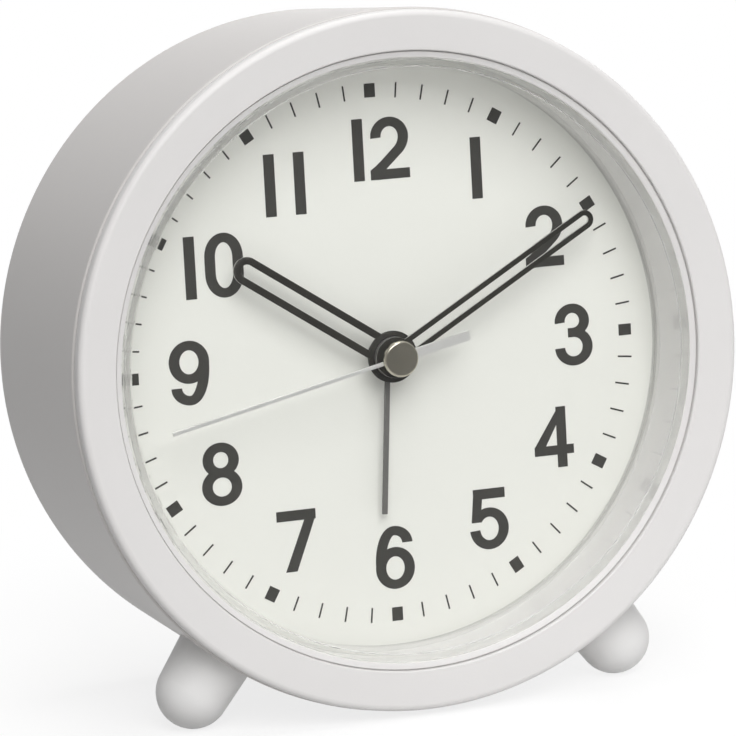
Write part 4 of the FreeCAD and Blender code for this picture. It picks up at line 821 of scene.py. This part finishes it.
class ALARMCLOCK_OT_drum(ClockPiece, bpy.types.Operator):
    """Build the drum with its dial ribs, cover posts and cover ledge"""
    bl_idname = "alarmclock.drum"
    bl_label = "Drum"

    def execute(self, context):
        case = context.scene.alarm_clock_case
        inside, end = case.drum_inside, -case.drum_end
        bore, seat = case.sleeve + 0.1 * MM, -1.75 * MM
        ledge, ledge_front, ledge_back = inside - 1.2 * MM, -25.6 * MM, -27.6 * MM
        form = turned([
            (inside, end, 0.3 * MM), (case.drum_back, end, case.drum_edge),
            (case.drum_front, case.ring_back, 0.4 * MM), (bore, case.ring_back, 0),
            (bore, seat, 0), (inside, seat, 0),
            (inside, ledge_front, 0), (ledge, ledge_front, 0),
            (ledge, ledge_back, 0), (inside, ledge_back, 0),
        ], case.steps)
        rib_half, rib_front, rib_back = 0.9 * MM, -1.9 * MM, -10.9 * MM
        rib = bar(form, (-rib_half, inside - 4.1 * MM, rib_back),
                  (rib_half, inside + 0.6 * MM, rib_front))
        spread(form, rib, 6)
        post_radius, post_length = 3.2 * MM, 15 * MM
        post_place = Matrix.Translation((0, inside - 2.9 * MM, -20.1 * MM))
        post = bmesh.ops.create_cone(
            form, cap_ends=True, segments=32, radius1=post_radius, radius2=post_radius,
            depth=post_length, matrix=post_place)["verts"]
        spread(form, post, 3)
        settle(form, "drum", "case", "case_plastic", ["case_drum"])
        return {"FINISHED"}


class ALARMCLOCK_OT_feet(ClockPiece, bpy.types.Operator):
    """Build the two round-ended feet"""
    bl_idname = "alarmclock.feet"
    bl_label = "Feet"

    def execute(self, context):
        case = context.scene.alarm_clock_case
        tip = case.foot_centre + case.foot_tip
        for side, label in ((-1, "left_foot"), (1, "right_foot")):
            form = turned([
                (0, case.foot_seat, 0), (case.foot_radius, case.foot_seat, 0),
                (case.foot_tip, case.foot_centre, 0), (case.foot_tip, tip, case.foot_tip),
                (0, tip, 0),
            ], 96, closed=False, rounds=28)
            aim = Vector((side * math.sin(case.foot_angle), -math.cos(case.foot_angle), 0))
            place = (Matrix.Translation((0, 0, case.foot_forward))
                     @ Vector((0, 0, 1)).rotation_difference(aim).to_matrix().to_4x4())
            settle(form, label + "_piece", "case", "foot_plastic", [label], place)
        return {"FINISHED"}


class ALARMCLOCK_OT_lens(ClockPiece, bpy.types.Operator):
    """Build the clear lens with its skirt and flange"""
    bl_idname = "alarmclock.lens"
    bl_label = "Lens"

    def execute(self, context):
        case = context.scene.alarm_clock_case
        inner = case.lens_radius - case.lens_wall
        inside = case.lens_front - case.lens_face
        flange, rim = 1.2 * MM, case.notch - 0.1 * MM
        form = turned([
            (0, inside, 0), (inner, inside, 0.3 * MM),
            (inner + case.lens_draft, CARD_GAP, 0), (rim, CARD_GAP, 0),
            (rim, flange, 0.2 * MM), (case.lens_radius, flange, 0.2 * MM),
            (case.lens_radius, case.lens_front - case.lens_bevel, 0.05 * MM),
            (case.lens_radius - case.lens_bevel, case.lens_front, 0.05 * MM),
            (0, case.lens_front, 0),
        ], case.steps, closed=False)
        settle(form, "lens_piece", "case", "clear_plastic", ["lens"])
        return {"FINISHED"}


class ALARMCLOCK_OT_numerals(ClockPiece, bpy.types.Operator):
    """Print the twelve numerals on the dial"""
    bl_idname = "alarmclock.numerals"
    bl_label = "Numerals"

    def execute(self, context):
        dial = context.scene.alarm_clock_dial
        form = bmesh.new()
        for digit, left, low in NUMERALS:
            drawn = bmesh.new()
            pen = Pen(drawn, (left, low), dial.ink, dial.upright / MM, dial.level / MM)
            if digit == "9":
                draw_six(pen)
                middle = (Vector((left, low, 0)) + SIX_MIDDLE) * MM
                bmesh.ops.rotate(drawn, verts=drawn.verts, cent=middle,
                                 matrix=Matrix.Rotation(math.pi, 3, "Z"))
            else:
                DRAW[digit](pen)
            take_in(form, drawn)
        settle(form, "dial_numerals", "case", "dial_ink")
        return {"FINISHED"}


class ALARMCLOCK_OT_marks(ClockPiece, bpy.types.Operator):
    """Print the sixty marks round the dial"""
    bl_idname = "alarmclock.marks"
    bl_label = "Minute Marks"

    def execute(self, context):
        dial = context.scene.alarm_clock_dial
        form = bmesh.new()
        for minute in range(60):
            hour = minute % 5 == 0
            wide = dial.hour_wide if hour else dial.minute_wide
            tall = dial.hour_long if hour else dial.minute_long
            mark = bar(form, (-wide / 2, dial.mark_ring - tall / 2, 0.0),
                       (wide / 2, dial.mark_ring + tall / 2, dial.ink))
            bmesh.ops.rotate(form, verts=mark, cent=(0, 0, 0),
                             matrix=clockwise(math.tau * minute / 60).to_3x3())
        settle(form, "dial_marks", "case", "dial_ink")
        return {"FINISHED"}


HUB_STEPS = 96
PROUD = 0.01 * MM    # a hub's rise over its hand, to keep faces apart


def open_hand(top, sheet, tip, width, slot, hub, collar, bore):
    """A hand with a hub, a collar under it, two rails and a round end, drawn at twelve."""
    form = bmesh.new()
    rail = (width - slot) / 2
    reach, side = tip - width / 2, (width - rail) / 2
    root = math.sqrt(hub ** 2 - (width / 2) ** 2) - 0.15 * MM
    ends = [form.verts.new((-side + offset, root, top - sheet))
            for offset in (rail / 2, -rail / 2)]
    edge = form.edges.new(ends)
    verts, edge, _ = push(form, edge)
    bmesh.ops.translate(form, verts=verts, vec=(0, reach - root, 0))
    bent = bmesh.ops.spin(form, geom=[edge, *edge.verts], cent=(0, reach, 0),
                          axis=(0, 0, 1), angle=-math.pi, steps=40)["geom_last"]
    verts, _, _ = push(form, only(bmesh.types.BMEdge, bent)[0])
    bmesh.ops.translate(form, verts=verts, vec=(0, root - reach, 0))
    bmesh.ops.remove_doubles(form, verts=form.verts, dist=1e-8)
    thicken(form, form.faces[:], sheet)
    bmesh.ops.recalc_face_normals(form, faces=form.faces)
    soften(form, 0.05 * MM)
    take_in(form, turned([
        (bore, collar, 0), (hub, collar, 0.04 * MM),
        (hub, top + PROUD, 0.1 * MM), (bore, top + PROUD, 0.04 * MM),
    ], HUB_STEPS))
    return form


class ALARMCLOCK_OT_open_hands(ClockPiece, bpy.types.Operator):
    """Build the hour hand and the minute hand, each with an open slot"""
    bl_idname = "alarmclock.open_hands"
    bl_label = "Hour and Minute Hands"

    def execute(self, context):
        hands = context.scene.alarm_clock_hands
        hour_bore, minute_bore, air = 1.5 * MM, 1.1 * MM, 0.25 * MM
        kinds = {
            "hour": (hands.hour_top - hands.sheet, hour_bore, 0.1 * MM),
            "minute": (hands.hour_top + air, minute_bore, -0.2 * MM),
        }
        for kind, (collar, bore, past) in kinds.items():
            top, tip, width, slot, hub, turn = (
                getattr(hands, f"{kind}_{size}")
                for size in ("top", "length", "width", "slot", "hub", "angle"))
            form = open_hand(top, hands.sheet, tip, width, slot, hub, collar, bore)
            settle(form, f"{kind}_hand_piece", f"{kind}_work", "dark_paint",
                   [f"{kind}_hand"], clockwise(turn), (hub + past, tip, "cut_edge"))
        return {"FINISHED"}


class ALARMCLOCK_OT_thin_hands(ClockPiece, bpy.types.Operator):
    """Build the alarm hand and the second hand with its tail"""
    bl_idname = "alarmclock.thin_hands"
    bl_label = "Alarm and Second Hands"

    def execute(self, context):
        hands = context.scene.alarm_clock_hands
        alarm = bmesh.new()
        low, high, bore = hands.alarm_top - hands.sheet, hands.alarm_top, 1.9 * MM
        half, root = hands.alarm_width / 2, hands.alarm_hub - 0.2 * MM
        bar(alarm, (-half, root, low), (half, hands.alarm_length, high))
        soften(alarm, 0.06 * MM)
        take_in(alarm, turned([
            (bore, low, 0), (hands.alarm_hub, low, 0.04 * MM),
            (hands.alarm_hub, high + PROUD, 0.06 * MM),
            (bore, high + PROUD, 0.04 * MM)], HUB_STEPS))
        settle(alarm, "alarm_hand_piece", "alarm_work", "grey_paint", ["alarm_hand"],
               clockwise(hands.alarm_angle))
        second = bmesh.new()
        low, high, bore = hands.second_top - hands.sheet, hands.second_top, 0.5 * MM
        needle, tail = hands.second_width / 2, hands.tail_width / 2
        root, foot = 0.4 * MM, high - 0.9 * MM
        bar(second, (-needle, root, low), (needle, hands.second_length, high - PROUD))
        bar(second, (-tail, -hands.second_tail, low), (tail, 0.0, high - 2 * PROUD))
        soften(second, 0.05 * MM)
        take_in(second, turned([
            (bore, foot, 0), (hands.boss, foot, 0.05 * MM),
            (hands.boss, high, 0.05 * MM), (bore, high, 0)], 64))
        settle(second, "second_hand_piece", "second_work", "bare_aluminium",
               ["second_hand"], clockwise(hands.second_angle))
        return {"FINISHED"}


class ALARMCLOCK_OT_cap(ClockPiece, bpy.types.Operator):
    """Build the chamfered metal cap over the hands' axis"""
    bl_idname = "alarmclock.cap"
    bl_label = "Centre Cap"

    def execute(self, context):
        hands = context.scene.alarm_clock_hands
        form = turned([
            (0, hands.second_top, 0), (hands.cap_radius, hands.second_top, 0.05 * MM),
            (hands.cap_radius, hands.cap_top - hands.cap_chamfer, 0.08 * MM),
            (hands.cap_radius - hands.cap_chamfer, hands.cap_top, 0.08 * MM),
            (0, hands.cap_top, 0),
        ], 128, closed=False)
        settle(form, "cap_piece", "second_work", "cap_metal", ["hand_cap"])
        return {"FINISHED"}


class ALARMCLOCK_OT_carried(ClockPiece, bpy.types.Operator):
    """Give every piece carried over from the frame its finish"""
    bl_idname = "alarmclock.carried"
    bl_label = "Carried Pieces"

    def execute(self, context):
        for entry in frame["record"]["subparts"]:
            node = frame["nodes"][entry["node"]]
            for holder in node.material_slots:
                holder.material = finish(entry["material_slot"])
        return {"FINISHED"}


class AlarmClockStage(bpy.types.PropertyGroup):
    """Lamps, floor and camera."""
    key: amount("Key lamp", 12.9, "Power of the large front lamp", unit="POWER")
    top: amount("Top lamp", 5.0, "Power of the lamp overhead", unit="POWER")
    rear: amount("Rear lamp", 7.0, "Power of the lamp behind", unit="POWER")
    sky: amount("Sky", 0.05, "Strength of the soft light from behind")
    front: amount("Front", 0.3, "Strength of the soft light in front")
    room: amount("Room", 0.18, "What polished faces mirror in front")
    lens: amount("Focal length", 211.558, "Camera lens on a 36 mm frame", unit="CAMERA")
    roll: angle("Roll", -2.161, "How far the camera is rolled")


# each lamp's side and place, in metres
LAMPS = {
    "key": (0.9, (-0.14, -0.97, 0.91)),
    "top": (0.6, (0.1, 0.02, 1.05)),
    "rear": (0.5, (0.5, 0.9, 0.2)),
}

# where the camera stands and looks, in the dial's frame and in millimetres
CAMERA_PLACE = (-218.681, 80.120, 579.708)
CAMERA_AIM = (-2.186, -1.901, -0.547)


def area_lamp(name, power, size, place, aim):
    """A square soft lamp that looks at a point."""
    light = bpy.data.lights.new(name, "AREA")
    light.energy, light.size = power, size
    lamp = bpy.data.objects.new(name, light)
    lamp.location = place
    lamp.rotation_mode = "QUATERNION"
    lamp.rotation_quaternion = (Vector(aim) - Vector(place)).to_track_quat("-Z", "Y")
    bpy.context.scene.collection.objects.link(lamp)
    return lamp


class ALARMCLOCK_OT_stage(ClockPiece, bpy.types.Operator):
    """Set up the pale floor, the white surroundings, the lamps and the camera"""
    bl_idname = "alarmclock.stage"
    bl_label = "Stage"

    def floor(self, stage):
        """A pale floor that keeps the clock's shadow and fades to plain white; to light bouncing onto the clock it
        is a darker grey, darker still to the left and back, as painted shade.
        """
        half_side = 3.0
        dark_to_light, near_to_far, back_to_front = (-0.08, 0.06), (0.03, 0.13), (-0.03, -0.12)
        sheet = bmesh.new()
        bmesh.ops.create_grid(sheet, x_segments=1, y_segments=1, size=half_side)
        mesh = bpy.data.meshes.new("floor")
        sheet.to_mesh(mesh)
        sheet.free()
        material, shading = finish_named("floor_paper")
        # painted shade: light bouncing off the floor onto the clock takes a darker grey towards the left and back,
        # to darken the drum's left side; camera rays do not see it
        across = shading.node("ShaderNodeVectorMath", {"operation": "DOT_PRODUCT"}, {
            0: shading.place(), 1: (0.7, -0.7, 0.0)}, "Value")
        light = shading.ramp(across, dark_to_light)
        painted_shade_bounce = shading.node("ShaderNodeBsdfDiffuse", None, {
            "Color": shading.blend(light, grey(0.35), grey(0.78))})
        pale = shading.node("ShaderNodeBsdfDiffuse", None, {"Color": grey(0.97)})
        white = shading.glow("ShaderNodeEmission", 1.0)
        dim = shading.glow("ShaderNodeEmission", stage.room)
        fade = shading.ramp(shading.reach(shading.place()), near_to_far, (0.8, 1.0))
        ahead = shading.ramp(shading.along(shading.place(), "Y"), back_to_front)
        shown = shading.mix(
            shading.ray("Glossy") * ahead, shading.mix(fade, pale, white), dim)
        shading.surface(shading.mix(shading.seen(), painted_shade_bounce, shown))
        mesh.materials.append(material)
        floor = bpy.data.objects.new("floor", mesh)
        bpy.context.scene.collection.objects.link(floor)

    def surroundings(self, stage):
        """White as seen, and softer as light on the clock."""
        back_to_front = (0.2, -0.6)
        world = bpy.data.worlds.new("studio")
        world.use_nodes = True
        bpy.context.scene.world = world
        shading = Shading(world.node_tree)
        aim = shading.node("ShaderNodeTexCoord", output="Generated")
        ahead = shading.ramp(shading.along(aim, "Y"), back_to_front)
        sky, fill, white, dim = (
            shading.glow("ShaderNodeBackground", strength)
            for strength in (stage.sky, stage.front, 1.0, stage.room))
        soft = shading.mix(ahead, sky, fill)
        shown = shading.mix(shading.ray("Glossy") * ahead, white, dim)
        shading.surface(shading.mix(shading.seen(), soft, shown), "ShaderNodeOutputWorld")

    def camera(self, stage):
        """The camera, placed in the dial's frame."""
        lens = bpy.data.cameras.new("view")
        lens.lens, lens.sensor_width = stage.lens, 36.0
        lens.clip_start, lens.clip_end = 0.01, 10.0
        place = STAND @ (Vector(CAMERA_PLACE) * MM)
        aim = STAND @ (Vector(CAMERA_AIM) * MM)
        view = bpy.data.objects.new("view", lens)
        view.location = place
        view.rotation_mode = "QUATERNION"
        roll = Matrix.Rotation(stage.roll, 3, "Z").to_quaternion()
        view.rotation_quaternion = (aim - place).to_track_quat("-Z", "Y") @ roll
        bpy.context.scene.collection.objects.link(view)
        bpy.context.scene.camera = view

    def execute(self, context):
        stage = context.scene.alarm_clock_stage
        self.floor(stage)
        self.surroundings(stage)
        self.camera(stage)
        for name, (size, place) in LAMPS.items():
            lamp = area_lamp(name, getattr(stage, name), size, place, STAND.translation)
            lamp.visible_glossy = name != "rear"
        context.scene.view_settings.view_transform = "Standard"
        return {"FINISHED"}


class ALARMCLOCK_PT_pieces(bpy.types.Panel):
    """Lists the clock's pieces in the sidebar"""
    bl_idname = "ALARMCLOCK_PT_pieces"
    bl_label = "Alarm Clock"
    bl_space_type = "VIEW_3D"
    bl_region_type = "UI"
    bl_category = "Alarm Clock"

    def draw(self, context):
        for operator in OPERATORS:
            self.layout.operator(operator.bl_idname)


GROUPS = {
    "alarm_clock_case": AlarmClockCase,
    "alarm_clock_dial": AlarmClockDial,
    "alarm_clock_hands": AlarmClockHands,
    "alarm_clock_colours": AlarmClockColours,
    "alarm_clock_stage": AlarmClockStage,
}
OPERATORS = [
    ALARMCLOCK_OT_carried,
    ALARMCLOCK_OT_ring,
    ALARMCLOCK_OT_drum,
    ALARMCLOCK_OT_feet,
    ALARMCLOCK_OT_lens,
    ALARMCLOCK_OT_numerals,
    ALARMCLOCK_OT_marks,
    ALARMCLOCK_OT_open_hands,
    ALARMCLOCK_OT_thin_hands,
    ALARMCLOCK_OT_cap,
    ALARMCLOCK_OT_stage,
]


def register():
    """Adds the groups, the operators and the panel."""
    for name, group in GROUPS.items():
        bpy.utils.register_class(group)
        setattr(bpy.types.Scene, name, PointerProperty(type=group))
    for kind in [*OPERATORS, ALARMCLOCK_PT_pieces]:
        bpy.utils.register_class(kind)


def unregister():
    """Takes them away again."""
    for kind in [ALARMCLOCK_PT_pieces, *reversed(OPERATORS)]:
        bpy.utils.unregister_class(kind)
    for name, group in reversed(GROUPS.items()):
        delattr(bpy.types.Scene, name)
        bpy.utils.unregister_class(group)


def main():
    """Builds every piece."""
    register()
    for operator in OPERATORS:
        group, name = operator.bl_idname.split(".")
        getattr(getattr(bpy.ops, group), name)()


if __name__ == "__main__":
    main()
